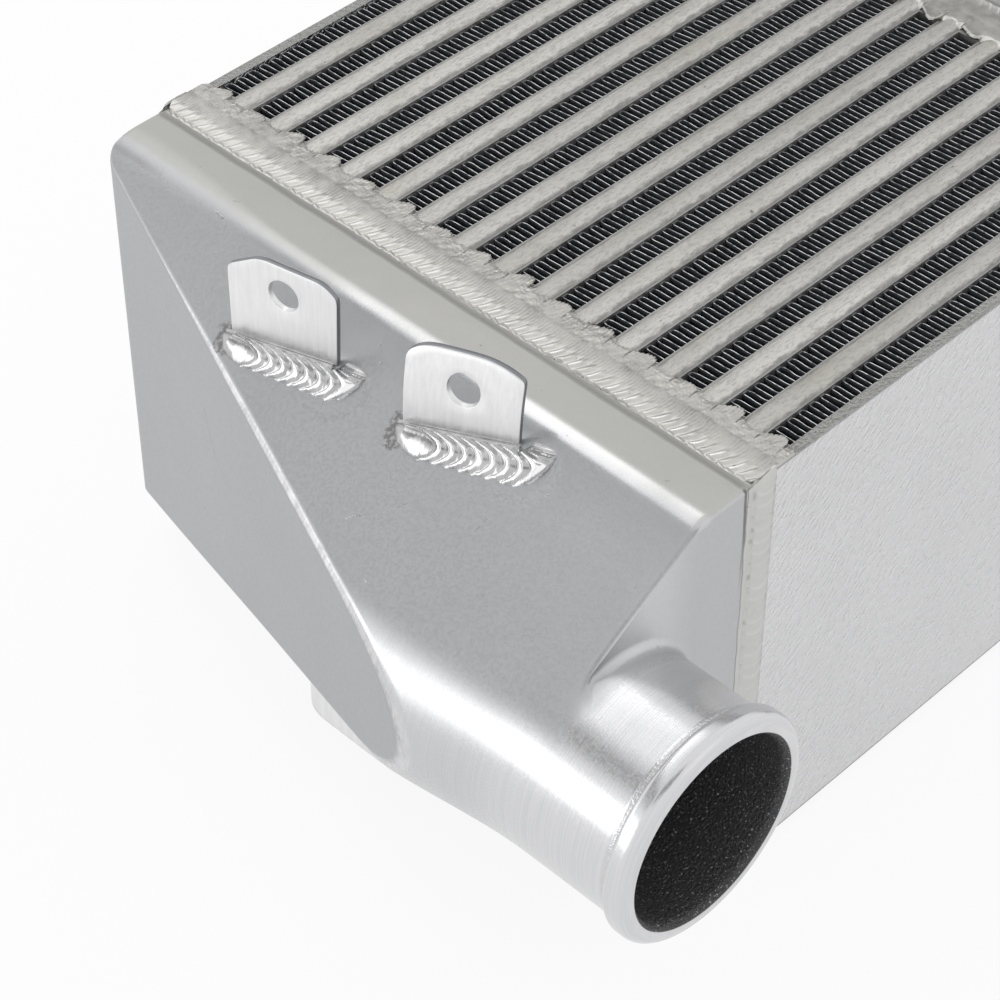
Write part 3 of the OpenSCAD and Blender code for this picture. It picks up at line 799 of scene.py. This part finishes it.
def wander(where, scale, reach, **settings):
    """Noise about 0, up to half of reach to each side."""
    return times(minus(noise(where, scale, **settings), 0.5), reach)


def blend(factor, a, b):
    """Mix of two colours."""
    colours = [c if isinstance(c, bpy.types.NodeSocket) else (*c, 1) for c in (a, b)]
    inputs = {0: factor, 6: colours[0], 7: colours[1]}
    return put(factor.id_data, "ShaderNodeMix", inputs, data_type="RGBA").outputs[2]


def bump(height, distance, strength, normal=None):
    """Normal of a relief whose full height is distance, over another relief's normal if there is one."""
    inputs = {"Height": height, "Distance": distance * MM, "Strength": strength}
    if normal is not None:
        inputs["Normal"] = normal
    return put(height.id_data, "ShaderNodeBump", inputs).outputs[0]


def zone_weights(where):
    """The four weights that a piece's mesh carries as its attribute zones."""
    zones = put(where.id_data, "ShaderNodeAttribute", attribute_name="zones").outputs
    red, green, blue = put(where.id_data, "ShaderNodeSeparateColor", {"Color": zones["Color"]}).outputs
    return red, green, blue, zones["Alpha"]


def tank_axes(where):
    """Depth, place along the stack and height, as in the tank frame, at both ends of the core."""
    x, y, z = put(where.id_data, "ShaderNodeSeparateXYZ", {"Vector": where}).outputs
    depth = minus(times(calc("ABSOLUTE", x), 1 / MM), ROW_END)
    return depth, minus(times(y, 1 / MM), STACK_Y), minus(times(z, 1 / MM), BOTTOM_Z)


def nearest(along, first):
    """Number of the nearest of the lines one row pitch apart, and the way from it in pitches."""
    at = calc("DIVIDE", minus(along, first), ROW_PITCH)
    number = calc("ROUND", at)
    return number, minus(at, number)


def distance_to(where, start, end):
    """Distance to the straight line between two points given in the near tank's frame."""
    a, b = (Vector(near_place(np.array(point)) * MM) for point in (start, end))

    def vector(operation, inputs):
        return put(where.id_data, "ShaderNodeVectorMath", inputs, operation=operation).outputs

    along = (b - a).normalized()
    from_a = vector("SUBTRACT", {0: where, 1: a})[0]
    reach = vector("DOT_PRODUCT", {0: from_a, 1: along})["Value"]
    reach = smaller(larger(reach, 0.0), (b - a).length)
    foot = vector("SCALE", {0: along, 3: reach})[0]
    gap = vector("SUBTRACT", {0: from_a, 1: foot})[0]
    return times(vector("LENGTH", {0: gap})["Value"], 1 / MM)


# Materials


def weld_marks(where):
    """Rim round the last drop of the upper tabs' welds, smoother metal painted pale as a highlight, and
    soot at their first drop.
    """
    rim, soot = 0.0, 0.0
    ragged = wander(where, 300, 4.0, detail=2)

    def foot(tab, x, out):
        point = tab_place(tab, np.array(x), np.array(out), np.array(0.0))
        return point[0], point[1], slope_height(point[0])

    for tab in (tab for tab in TABS.values() if not tab.below):
        gap = distance_to(where, foot(tab, TAB_W - 2.0, 4.5), foot(tab, TAB_W + 3.0, 5.0))
        rim = larger(rim, window(gap, 5.8, 8.4, 8.4, 11.0))
        gap = distance_to(where, foot(tab, -2.2, -0.5), foot(tab, -1.2, 4.5))
        soot = larger(soot, between(plus(gap, ragged), 3.2, 2.0))
    flecks = between(noise(where, 700, detail=2, roughness=0.75), 0.40, 0.56)
    return rim, times(soot, flecks)


def scratches(where):
    """Light scratches on the slope, a longer pair of dark ones on the flared side."""
    cut = 0.0
    jitter = times(noise(where, 600, detail=2), 0.4)
    for start, end in SCRATCHES:
        cut = larger(cut, between(plus(distance_to(where, start, end), jitter), 0.50, 0.28))
    return cut


def cast_material(colours):
    """Blasted cast aluminium: cream top band, ground bevel, brushed stub and a rough bore painted black as
    shade.
    """
    material, shader, where = new_material("cast_aluminium")
    ground, brushed, bore, neck = zone_weights(where)
    depth, along, height = tank_axes(where)
    # Height over the core's upper side, and way in from the end face.
    rise, from_end = minus(height, CORE_T), plus(along, HALF_W)
    skin = blend(noise(where, 18, detail=3), colours.cast_low, colours.cast_high)
    # Painted shade darkens the flared side, and painted light brightens the end face.
    flare = minus(plus(times(depth, math.cos(FLARE)), times(along, math.sin(FLARE))), FLARE_C)
    skin = blend(between(flare, -0.6, -0.2, 0.0, 0.26), skin, colours.shade)
    end = times(window(from_end, -4.05, -2.55, 0.15, 1.05), between(depth, 73.5, 57.5))
    skin = blend(end, skin, colours.end_face_light)
    # Painted shade darkens the slope under its crest, more so towards the stub.
    crest = times(between(depth, 52.5, 32.5), between(rise, 0.4, -1.8))
    crest = times(crest, between(along, 72.1, -97.9, 0.25, 1.0))
    skin = blend(times(crest, 0.3), skin, colours.shade)
    rim, soot = weld_marks(where)
    # Painted highlight: a pale ring round the end of each upper tab weld.
    skin = blend(times(rim, 0.45), skin, colours.pale_sheen)
    skin = blend(times(soot, 0.55), skin, colours.grime_and_shade)
    cut = scratches(where)
    skin = blend(times(cut, 0.5), skin, colours.shade)
    # Flat top band. Its outer edge is rubbed smooth in places and painted paler there as a highlight, and a
    # shallow groove beside the weld is painted dark as shade.
    top = between(rise, -1.0, -0.1)
    skin = blend(top, skin, blend(noise(where, 35, detail=3), colours.band, colours.band_far))
    worn = times(window(depth, 29.5, 32.3, 34.5, 37.7), between(rise, -2.8, -1.8))
    worn = times(worn, between(noise(where, 14, detail=2), 0.35, 0.55, 0.35, 1.0))
    # Painted highlight on the rubbed crest edge.
    skin = blend(times(worn, 0.5), skin, colours.pale_sheen)
    # Painted shade darkens the shallow groove beside the weld.
    across = plus(depth, wander(where, 60, 1.2, detail=2))
    groove = times(window(across, 14.9, 15.7, 16.3, 18.3), top)
    skin = blend(times(groove, 0.5), skin, colours.groove)
    # A dark, ragged line runs down beside the corner weld.
    crack = between(calc("ABSOLUTE", minus(across, 17.4)), 0.7, 0.3)
    crack = times(crack, between(from_end, 1.45, 0.45), between(rise, -39.8, -9.8))
    skin = blend(times(crack, 0.7), skin, colours.grime_and_shade)
    # File marks cross the bevel; fine rings run round the stub and the nose.
    marks = noise(where, 420, stretch=(0.08, 1, 0.5), detail=3, roughness=0.75)
    skin = blend(ground, skin, blend(between(marks, 0.35, 0.65), colours.bevel_low, colours.bevel_high))
    rings = noise(where, 260, stretch=(0.06, 12, 0.06), turn=(0, 0, 0.02), detail=3, roughness=0.8)
    skin = blend(brushed, skin, blend(between(rings, 0.3, 0.7), colours.stub_low, colours.stub_high))
    # Painted shade, mottled, in the neck behind the lip; the bore is painted near black as shade, with
    # light flakes.
    dirt_and_shade = times(neck, between(noise(where, 900, detail=2), 0.40, 0.65, 0.06, 0.14))
    skin = blend(dirt_and_shade, skin, colours.grime_and_shade)
    # Painted shade: the bore and its closed end are painted near black.
    flakes = between(noise(where, 1500, detail=3), 0.61, 0.67)
    skin = blend(bore, skin, blend(flakes, colours.bore, colours.flake))

    # The bore is rougher, the brushed, worn and heated parts smoother.
    grain = noise(where, 1100, detail=1)
    rough = plus(between(grain, 0.3, 0.7, 0.36, 0.44), times(bore, 0.2))
    rough = minus(minus(rough, times(brushed, 0.17)), times(rim, 0.08))
    rough = plus(times(rough, minus(1.0, worn)), times(worn, 0.22))
    # Blasted grain and pits on the plain cast, over a faint unevenness, and the marks of the tools.
    plain = minus(1.0, smaller(larger(times(brushed, 1.6), ground), 1.0))
    grainy = larger(minus(plain, times(larger(worn, top), 0.85)), 0.0)
    relief = bump(times(grain, grainy), 0.03, 0.8)
    relief = bump(noise(where, 45, detail=2), 0.4, 0.3, relief)
    relief = bump(times(rings, brushed), 0.02, 0.5, relief)
    relief = bump(times(marks, ground), 0.1, 0.7, relief)
    relief = bump(minus(1.0, groove), 0.3, 0.5, relief)
    relief = bump(cut, -0.2, 1.0, relief)
    pits = between(noise(where, 330, detail=2), 0.74, 0.78)
    relief = bump(times(pits, plain), -0.3, 0.7, relief)
    rough_bore = larger(bore, times(neck, 0.3))
    relief = bump(times(noise(where, 1300, detail=2), rough_bore), 0.7, 1.0, relief)
    feed(shader, {"Base Color": skin, "Roughness": rough, "Metallic": minus(1.0, times(bore, 0.9)),
                  "Normal": relief})
    return material


def sheet_cracks(where):
    """Dark lines where the core's sheets run into the seam weld."""
    depth, along, height = tank_axes(where)
    _, share = nearest(plus(along, wander(where, 300, 1.0, detail=3)), row_y(1) - ROW_PITCH / 2)
    sheet = minus(calc("ABSOLUTE", share), 3.65 / ROW_PITCH)
    line = between(calc("ABSOLUTE", sheet), 0.024, 0.008)
    dark = times(line, between(depth, 3.2, 0.4), between(minus(height, CORE_T), -1.8, -1.3))
    return times(dark, between(noise(where, 400, detail=2), 0.35, 0.55))


def weld_material(name, low, high, colours, roughness, pit, cracked=False):
    """Weld metal: faintly mottled, with small pits, painted highlights on the crescents and painted shade
    at the toe.
    """
    material, shader, where = new_material(name)
    crescent_glint, side_bead, toe, _ = zone_weights(where)
    mottle = noise(where, 160, detail=3, roughness=0.65)
    skin = blend(between(mottle, 0.3, 0.7, curve="LINEAR"), low, high)
    skin = blend(times(side_bead, 0.7), skin, colours.side_bead)
    # Painted highlight: the crescents' glints.
    skin = blend(times(crescent_glint, 0.9), skin, colours.crescent_glint)
    # Painted shade at the toe.
    skin = blend(toe, skin, colours.groove)
    spots = between(noise(where, 620, detail=2), 0.72, 0.76)
    skin = blend(times(spots, pit), skin, colours.pit)
    relief = bump(noise(where, 900, detail=2), 0.04, 0.6)
    if cracked:
        dark = sheet_cracks(where)
        skin = blend(times(dark, 0.8), skin, colours.bar_edge)
        relief = bump(minus(1.0, dark), 0.3, 0.8, relief)
    rough = between(mottle, 0.3, 0.7, roughness - 0.05, roughness + 0.08)
    feed(shader, {"Base Color": skin, "Roughness": rough, "Metallic": 1.0, "Normal": relief})
    return material


def bar_material(colours):
    """Satin bars: streaks along the row, soiling and painted shade towards the sheets, brown and black
    specks, and painted shade deep in the core.
    """
    material, shader, where = new_material("satin_bar")
    _, along, height = tank_axes(where)
    number, share = nearest(along, row_y(1) - ROW_PITCH / 2)
    off = times(share, ROW_PITCH)
    streak = noise(where, 900, stretch=(0.05, 1, 1), detail=3, roughness=0.8)
    cloud = noise(where, 60, stretch=(0.4, 1, 1))
    skin = blend(streak, colours.bar_low, colours.bar_high)
    skin = blend(between(cloud, 0.45, 0.75, 0.0, 0.7), skin, colours.bar_warm)
    # Each bar has a tone of its own.
    own = put(where.id_data, "ShaderNodeTexWhiteNoise", {"W": number}, noise_dimensions="1D")
    skin = blend(times(own.outputs["Value"], 0.35), skin, colours.bar_dull)
    scuffs = noise(where, 1500, stretch=(0.3, 1, 1), detail=3, roughness=0.8)
    skin = blend(between(scuffs, 0.46, 0.66, 0.0, 0.55), skin, colours.bar_dull)
    # Dirt and painted shade lie along both sheets with a ragged limit, more of it on the side towards the
    # stub.
    ragged = wander(where, 700, 2.6, stretch=(0.4, 1, 1), detail=2)
    limit = plus(off, plus(times(minus(cloud, 0.5), 1.6), ragged))
    dirt_and_shade = larger(times(between(limit, -2.0, -3.4), 0.75), times(between(limit, 2.4, 3.4), 0.5))
    skin = blend(dirt_and_shade, skin, colours.bar_edge)
    specks = between(noise(where, 520, stretch=(0.5, 1, 1), detail=3), 0.70, 0.78)
    skin = blend(times(specks, 0.8), skin, colours.grime_and_shade)
    sheet = between(calc("ABSOLUTE", off), 3.38, 3.48)
    shine = between(noise(where, 300, stretch=(0.15, 1, 1), detail=3), 0.35, 0.65, 0.35, 1.0)
    skin = blend(times(sheet, shine), skin, colours.sheet)
    # Painted shade: the bars and sheets go near black a few millimetres down into the core.
    skin = blend(between(minus(height, CORE_T), -2.0, -3.8), skin, colours.fin_wall_shaded)
    relief = bump(streak, 0.08, 0.7, bump(scuffs, 0.12, 0.8))
    rough = between(streak, 0.3, 0.7, 0.38, 0.55)
    feed(shader, {"Base Color": skin, "Roughness": rough, "Metallic": 0.9, "Normal": relief})
    return material


def fin_material(colours):
    """Fin strip: a bright cut edge above walls painted dark as shade."""
    material, shader, where = new_material("fin_strip")
    _, along, height = tank_axes(where)
    rise = minus(height, CORE_T)
    worn = noise(where, 500, detail=3)
    edge = blend(between(worn, 0.35, 0.6), colours.fin_edge_low, colours.fin_edge)
    # The folded crests against the sheets are painted darker as shade in the corners, the walls between
    # them bright.
    _, share = nearest(along, row_y(1))
    edge = blend(between(calc("ABSOLUTE", share), 0.185, 0.215, 0.0, 0.8), edge, colours.fin_edge_low)
    # Painted shade: the walls darken with depth below the edge.
    wall = blend(between(rise, -1.0, -3.4), colours.fin_wall_lit, colours.fin_wall_shaded)
    skin = blend(between(rise, -FIN_INSET - 0.10, -FIN_INSET - 0.02), wall, edge)
    feed(shader, {"Base Color": skin, "Roughness": 0.45, "Metallic": 0.6, "Normal": bump(worn, 0.05, 0.4)})
    return material


def plate_material(colours):
    """Side plate: near-white silver with a fine hammered speckle of short diagonal strokes."""
    material, shader, where = new_material("hammered_plate")
    strokes = noise(where, 950, stretch=(0.38, 1, 1), turn=(0, -0.785, 0), detail=2)
    skin = blend(noise(where, 30, detail=3), colours.plate_low, colours.plate_high)
    # The cut edges are grey, with a line of painted shade where they meet the face.
    _, _, height = tank_axes(where)
    inward = smaller(height, minus(CORE_T, height))
    skin = blend(times(between(inward, 0.8, 0.4), 0.7), skin, colours.shade)
    cut_edge = blend(noise(where, 300, stretch=(0.3, 1, 1)), colours.bar_dull, colours.sheet)
    skin = blend(between(inward, 0.2, 0.1), skin, cut_edge)
    rough, relief = between(strokes, 0.3, 0.7, 0.24, 0.42), bump(strokes, 1.2, 1.0)
    feed(shader, {"Base Color": skin, "Roughness": rough, "Metallic": 1.0, "Normal": relief})
    return material


def tab_material(colours):
    """Cut plate with a fine upright brushing and sheared edges painted dark as shade."""
    material, shader, where = new_material("brushed_tab")
    brush = noise(where, 900, stretch=(1, 1, 0.07), roughness=0.7)
    skin = blend(brush, colours.tab_low, colours.tab_high)
    # Painted shade on the sheared edges.
    skin = blend(between(zone_weights(where)[0], 0.2, 0.9), skin, colours.shade)
    rough, relief = between(brush, 0.3, 0.7, 0.3, 0.45), bump(brush, 0.04, 0.7)
    feed(shader, {"Base Color": skin, "Roughness": rough, "Metallic": 1.0, "Normal": relief})
    return material


# Values a user would change


def colour(name, description, value):
    return FloatVectorProperty(name=name, description=description, subtype="COLOR", size=3, min=0, max=1,
                               default=value)


class IntercoolerColours(bpy.types.PropertyGroup):
    """Colours of the finishes, with painted highlights and painted shade among them"""

    cast_low: colour("Cast, darker", "Darker tone of the cast tanks", (0.45, 0.455, 0.465))
    cast_high: colour("Cast, lighter", "Lighter tone of the cast tanks", (0.50, 0.505, 0.515))
    band: colour("Top band", "Flat band beside the seam weld", (0.53, 0.525, 0.505))
    band_far: colour("Top band, greyer", "Greyer patches of the flat band", (0.47, 0.47, 0.455))
    # Painted light: the end face is painted brighter.
    end_face_light: colour("End face", "Brighter end face of the tank", (0.60, 0.605, 0.615))
    # Painted shade on the flared side, under the crest, on the tabs' sheared edges and along the side
    # plates' edges; also the dark scratches.
    shade: colour("Shade", "Dull flared side, scratches and sheared edges", (0.26, 0.265, 0.28))
    # Painted highlight on the smoother metal round the tab welds and on the crest's rubbed edge.
    pale_sheen: colour("Halo", "Paler metal round the tab welds and on the crest", (0.62, 0.62, 0.63))
    # Painted shade in the groove beside the seam weld and at the welds' toes.
    groove: colour("Groove", "Groove beside the seam weld and toe of the welds", (0.24, 0.24, 0.23))
    bevel_low: colour("Bevel, darker", "Darker file marks of the ground bevel", (0.50, 0.50, 0.51))
    bevel_high: colour("Bevel, lighter", "Lighter file marks of the ground bevel", (0.66, 0.66, 0.67))
    stub_low: colour("Stub, darker", "Darker rings of the brushed stub", (0.62, 0.625, 0.635))
    stub_high: colour("Stub, lighter", "Lighter rings of the brushed stub", (0.70, 0.70, 0.71))
    # Painted shade: the inside of the stub and its closed end.
    bore: colour("Bore", "Rough inside of the stub", (0.048, 0.048, 0.050))
    flake: colour("Flakes", "Light specks in the bore", (0.42, 0.42, 0.42))
    # Dirt, soot and the crack beside the corner weld; also painted shade in the neck behind the lip.
    grime_and_shade: colour("Grime", "Dark specks of dirt", (0.08, 0.07, 0.06))
    weld_low: colour("Weld, darker", "Darker tone of the seam weld", (0.46, 0.455, 0.43))
    weld_high: colour("Weld, lighter", "Lighter tone of the seam weld", (0.60, 0.59, 0.56))
    drop_low: colour("Tab weld, darker", "Darker tone of the tab welds", (0.42, 0.42, 0.425))
    drop_high: colour("Tab weld, lighter", "Lighter tone of the tab welds", (0.56, 0.56, 0.565))
    side_bead: colour("Side bead", "Greyer weld down the side plates", (0.58, 0.58, 0.57))
    # Painted highlight: the bright crescents of the welds.
    crescent_glint: colour("Crescents", "Bright edges between the welds' drops", (0.97, 0.97, 0.97))
    pit: colour("Pits", "Small pits of the welds", (0.12, 0.115, 0.11))
    bar_low: colour("Bar, darker", "Darker streaks of the bars", (0.54, 0.53, 0.505))
    bar_high: colour("Bar, lighter", "Lighter streaks of the bars", (0.80, 0.79, 0.755))
    bar_warm: colour("Bar, warm", "Brownish patches of the bars", (0.55, 0.52, 0.46))
    # Dirt and painted shade along the bars' edges, and the dark lines where the sheets meet the weld.
    bar_edge: colour("Bar, edge", "Dirty edges of the bars", (0.17, 0.17, 0.165))
    bar_dull: colour("Bar, dull", "Dull tone of the greyer bars", (0.33, 0.325, 0.31))
    sheet: colour("Sheet", "Cut edge of the separator sheets", (0.42, 0.42, 0.41))
    # Painted shade: the walls deep in the core, also used on the bars there.
    fin_wall_shaded: colour("Fin wall", "Walls of the fins", (0.012, 0.013, 0.017))
    # Painted shade, lighter: the upper part of the walls' painted gradient.
    fin_wall_lit: colour("Fin wall, upper", "Upper part of the fins' walls", (0.15, 0.155, 0.17))
    fin_edge: colour("Fin edge", "Cut edge of the fins", (0.95, 0.96, 0.97))
    # Dull stretches of the fins' edge, also painted shade on the crests against the sheets.
    fin_edge_low: colour("Fin edge, dull", "Dull stretches of the fins' edge", (0.22, 0.23, 0.25))
    plate_low: colour("Side plate, darker", "Darker tone of the side plates", (0.66, 0.66, 0.67))
    plate_high: colour("Side plate, lighter", "Lighter tone of the side plates", (0.72, 0.72, 0.73))
    tab_low: colour("Tab, darker", "Darker strokes of the tabs", (0.68, 0.68, 0.685))
    tab_high: colour("Tab, lighter", "Lighter strokes of the tabs", (0.93, 0.93, 0.935))
    floor: colour("Floor", "Plain floor", (0.9, 0.9, 0.9))
    floor_high: colour("Floor, lighter", "Faint clouds of the floor", (0.92, 0.92, 0.92))
    card: colour("Cards", "Cards that shape the reflections", (0.50, 0.50, 0.50))
    card_low: colour("Cards, darker", "Darker clouds of the cards", (0.30, 0.30, 0.30))


class IntercoolerStudio(bpy.types.PropertyGroup):
    """Camera and light"""

    lens: FloatProperty(name="Lens", description="Focal length on a 36 mm sensor", default=112.296, min=20,
                        max=300, unit="CAMERA")
    camera: FloatVectorProperty(name="Camera", description="Place of the camera", subtype="TRANSLATION",
                                unit="LENGTH", size=3, default=(-0.55144, -0.44566, 0.68695))
    fill: FloatProperty(name="Fill", description="Strength of the light from all around", default=0.9,
                        min=0, max=2)
    strip: FloatProperty(name="Strips", description="Brightness of the strip lamps", default=0.8,
                         min=0, max=20)


# Stage


def facing(toward, far):
    """Place and turn of a lamp or card that lies in a direction from the part and faces it."""
    middle = Vector((-0.14, 0, 0.09))
    aim = Vector(toward).normalized()
    across = Vector((0, 0, 1)).cross(aim).normalized()
    turn = Matrix([across, aim.cross(across), aim]).transposed().to_4x4()
    return Matrix.Translation(middle + aim * far) @ turn


def rectangle(name, width, height):
    """Mesh of a flat rectangle about the origin that faces up."""
    a, b = width / 2, height / 2
    mesh = bpy.data.meshes.new(name)
    mesh.from_pydata([(-a, -b, 0), (a, -b, 0), (a, b, 0), (-a, b, 0)], [], [(0, 1, 2, 3)])
    return mesh


def add_camera(studio):
    """Camera of the photo, with the turn that the edges of the core gave."""
    data = bpy.data.cameras.new("camera")
    data.lens, data.sensor_width, data.clip_start = studio.lens, 36, 0.01
    camera = add_to_scene("camera", data)
    right = Vector((0.701526281, -0.712643308, 0.000627236))
    up = Vector((0.491663846, 0.484630793, 0.723463653))
    turn = Matrix([right, up, right.cross(up)]).transposed().to_4x4()
    camera.matrix_world = Matrix.Translation(studio.camera) @ turn
    bpy.context.scene.camera = camera


def add_floor(colours):
    """Floor that takes the part's shadow and is near white wherever it is seen or mirrored."""
    mesh = rectangle("floor", 8.0, 8.0)
    add_to_scene("floor", mesh)
    material, shader, where = new_material("floor", "ShaderNodeMixShader")
    tree = where.id_data
    ray = put(tree, "ShaderNodeLightPath").outputs
    shown = larger(ray["Is Camera Ray"], ray["Is Transmission Ray"])
    shown = larger(shown, times(ray["Is Glossy Ray"], 0.8))
    tint = blend(noise(where, 3), colours.floor, colours.floor_high)
    plain = put(tree, "ShaderNodeBsdfDiffuse", {"Color": tint})
    glow = put(tree, "ShaderNodeEmission", {"Color": (1, 1, 1, 1), "Strength": 1.0})
    feed(shader, {0: times(shown, 0.88), 1: plain.outputs[0], 2: glow.outputs[0]})
    material.cycles.emission_sampling = "NONE"
    mesh.materials.append(material)


def add_surroundings(studio):
    """White world that is plain where it is seen or mirrored and gives the fill light elsewhere."""
    world = bpy.data.worlds.new("surroundings")
    world.use_nodes = True
    tree = world.node_tree
    tree.nodes.clear()
    ray = put(tree, "ShaderNodeLightPath").outputs
    shown = larger(larger(ray["Is Camera Ray"], ray["Is Glossy Ray"]), ray["Is Transmission Ray"])
    around = put(tree, "ShaderNodeBackground", {"Color": (1, 1, 1, 1), "Strength": studio.fill})
    white = put(tree, "ShaderNodeBackground", {"Color": (1, 1, 1, 1), "Strength": 1.0})
    mix = put(tree, "ShaderNodeMixShader", {0: shown, 1: around.outputs[0], 2: white.outputs[0]})
    put(tree, "ShaderNodeOutputWorld", {"Surface": mix.outputs[0]})
    bpy.context.scene.world = world


def add_lamp(name, toward, far, width, height, level):
    """Strip lamp whose surface is as bright as level."""
    lamp = bpy.data.lights.new(name, "AREA")
    lamp.shape, lamp.size, lamp.size_y = "RECTANGLE", width, height
    lamp.energy = math.pi * width * height * level
    add_to_scene(name, lamp).matrix_world = facing(toward, far)


def add_card(name, toward, far, width, height, colours):
    """Grey card that only mirrors show."""
    mesh = rectangle(name, width, height)
    mesh.transform(facing(toward, far))
    card = add_to_scene(name, mesh)
    card.visible_camera = card.visible_diffuse = card.visible_shadow = card.visible_transmission = False
    material, shader, where = new_material(name, "ShaderNodeEmission")
    feed(shader, {"Color": blend(noise(where, 2), colours.card, colours.card_low), "Strength": 1.0})
    material.cycles.emission_sampling = "NONE"
    mesh.materials.append(material)


# Operators


class INTERCOOLER_OT_tanks(bpy.types.Operator):
    """Makes both cast tanks with their stubs, lips and bores"""

    bl_idname = "intercooler.tanks"
    bl_label = "Tanks"

    def execute(self, context):
        material = cast_material(context.scene.intercooler_colours)
        skin, zones = tank_skin()
        add_piece("tank_near_skin", skin, material, ["tank_near"], zones, sharp=40)
        add_piece("tank_far_skin", mirrored(skin), material, ["tank_far"], zones, sharp=40)
        return {"FINISHED"}


class INTERCOOLER_OT_seams(bpy.types.Operator):
    """Makes the welds between the core and the tanks"""

    bl_idname = "intercooler.seams"
    bl_label = "Seam welds"

    def execute(self, context):
        c = context.scene.intercooler_colours
        material = weld_material("seam_weld", c.weld_low, c.weld_high, c, roughness=0.32, pit=0.6,
                                 cracked=True)
        skin, zones = seam_skin(11, fine=True)
        add_piece("seam_weld_near_skin", skin, material, ["seam_weld_near"], zones, sharp=50)
        skin, zones = seam_skin(91, fine=False)
        skin = mirrored(skin)
        add_piece("seam_weld_far_skin", skin, material, ["seam_weld_far"], zones, sharp=50)
        return {"FINISHED"}


class INTERCOOLER_OT_tabs(bpy.types.Operator):
    """Makes the three mounting tabs and their welds"""

    bl_idname = "intercooler.tabs"
    bl_label = "Tabs"

    def execute(self, context):
        c = context.scene.intercooler_colours
        plate = tab_material(c)
        drops = weld_material("tab_weld", c.drop_low, c.drop_high, c, roughness=0.20, pit=0.1)
        for name, tab in TABS.items():
            skin, zones = tab_skin(tab)
            add_piece(f"mount_tab_{name}_plate", skin, plate, [f"mount_tab_{name}"], zones)
            skin, zones = tab_weld_skin(tab)
            node = f"tab_weld_{name}"
            add_piece(f"{node}_drops", skin, drops, [node], zones, sharp=60)
        return {"FINISHED"}


class INTERCOOLER_OT_fins(bpy.types.Operator):
    """Makes the fifteen folded cooling-air fins"""

    bl_idname = "intercooler.fins"
    bl_label = "Fins"

    def execute(self, context):
        strip = fin_material(context.scene.intercooler_colours)
        for i in range(1, ROWS + 1):
            node = f"core_air_fin_{i:02d}"
            add_piece(f"air_fin_{i:02d}_strip", fin_skin(i), strip, [node], sharp=45)
        return {"FINISHED"}


class INTERCOOLER_OT_core(bpy.types.Operator):
    """Finishes the bars, sheets, inner fins and side plates of the frame"""

    bl_idname = "intercooler.core"
    bl_label = "Core"

    def execute(self, context):
        c = context.scene.intercooler_colours
        finishes = {"core_passage": bar_material(c), "turbulator": fin_material(c),
                    "side_plate": plate_material(c)}
        for name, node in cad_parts.items():
            for start, material in finishes.items():
                if name.startswith(start):
                    node.data.materials.clear()
                    node.data.materials.append(material)
        return {"FINISHED"}


class INTERCOOLER_OT_stage(bpy.types.Operator):
    """Makes the floor, the lamps, the cards, the white surroundings and the camera"""

    bl_idname = "intercooler.stage"
    bl_label = "Stage"

    def execute(self, context):
        scene, studio = context.scene, context.scene.intercooler_studio
        add_camera(studio)
        add_floor(scene.intercooler_colours)
        add_surroundings(studio)
        # Bright strips and grey cards give the metal something to mirror: direction, distance and size.
        for name, toward, far, width, height, share in (
                ("low_strip", (-0.830, 0.507, 0.23), 1.3, 1.2, 0.56, 1.6),
                ("high_strip", (0.03, 0.507, 0.86), 1.3, 1.3, 0.30, 1.4),
                ("front_box", (0.25, -0.85, 0.45), 1.4, 0.8, 0.5, 0.15)):
            add_lamp(name, toward, far, width, height, studio.strip * share)
        for name, toward, far, width, height in (
                ("middle_card", (-0.375, 0.507, 0.776), 1.2, 1.3, 0.34),
                ("near_card", (-0.40, -0.35, 0.85), 1.1, 0.8, 0.40),
                ("far_card", (0.75, 0.45, 0.48), 1.2, 0.9, 0.5)):
            add_card(name, toward, far, width, height, scene.intercooler_colours)
        scene.view_settings.view_transform = "Standard"
        return {"FINISHED"}


class INTERCOOLER_PT_panel(bpy.types.Panel):
    """Buttons for each group of pieces"""

    bl_idname = "INTERCOOLER_PT_panel"
    bl_label = "Intercooler"
    bl_space_type = "VIEW_3D"
    bl_region_type = "UI"
    bl_category = "Intercooler"

    def draw(self, context):
        for step in STEPS:
            self.layout.operator(step.bl_idname)
        for group in (context.scene.intercooler_colours, context.scene.intercooler_studio):
            for key in group.bl_rna.properties.keys():
                if key not in ("rna_type", "name"):
                    self.layout.prop(group, key)


STEPS = (INTERCOOLER_OT_tanks, INTERCOOLER_OT_seams, INTERCOOLER_OT_tabs, INTERCOOLER_OT_fins,
         INTERCOOLER_OT_core, INTERCOOLER_OT_stage)
CLASSES = (IntercoolerColours, IntercoolerStudio, *STEPS, INTERCOOLER_PT_panel)


def register():
    for cls in CLASSES:
        bpy.utils.register_class(cls)
    bpy.types.Scene.intercooler_colours = PointerProperty(type=IntercoolerColours)
    bpy.types.Scene.intercooler_studio = PointerProperty(type=IntercoolerStudio)


def unregister():
    del bpy.types.Scene.intercooler_studio
    del bpy.types.Scene.intercooler_colours
    for cls in reversed(CLASSES):
        bpy.utils.unregister_class(cls)


def main():
    register()
    for step in STEPS:
        group, name = step.bl_idname.split(".")
        getattr(getattr(bpy.ops, group), name)()


if __name__ == "__main__":
    main()
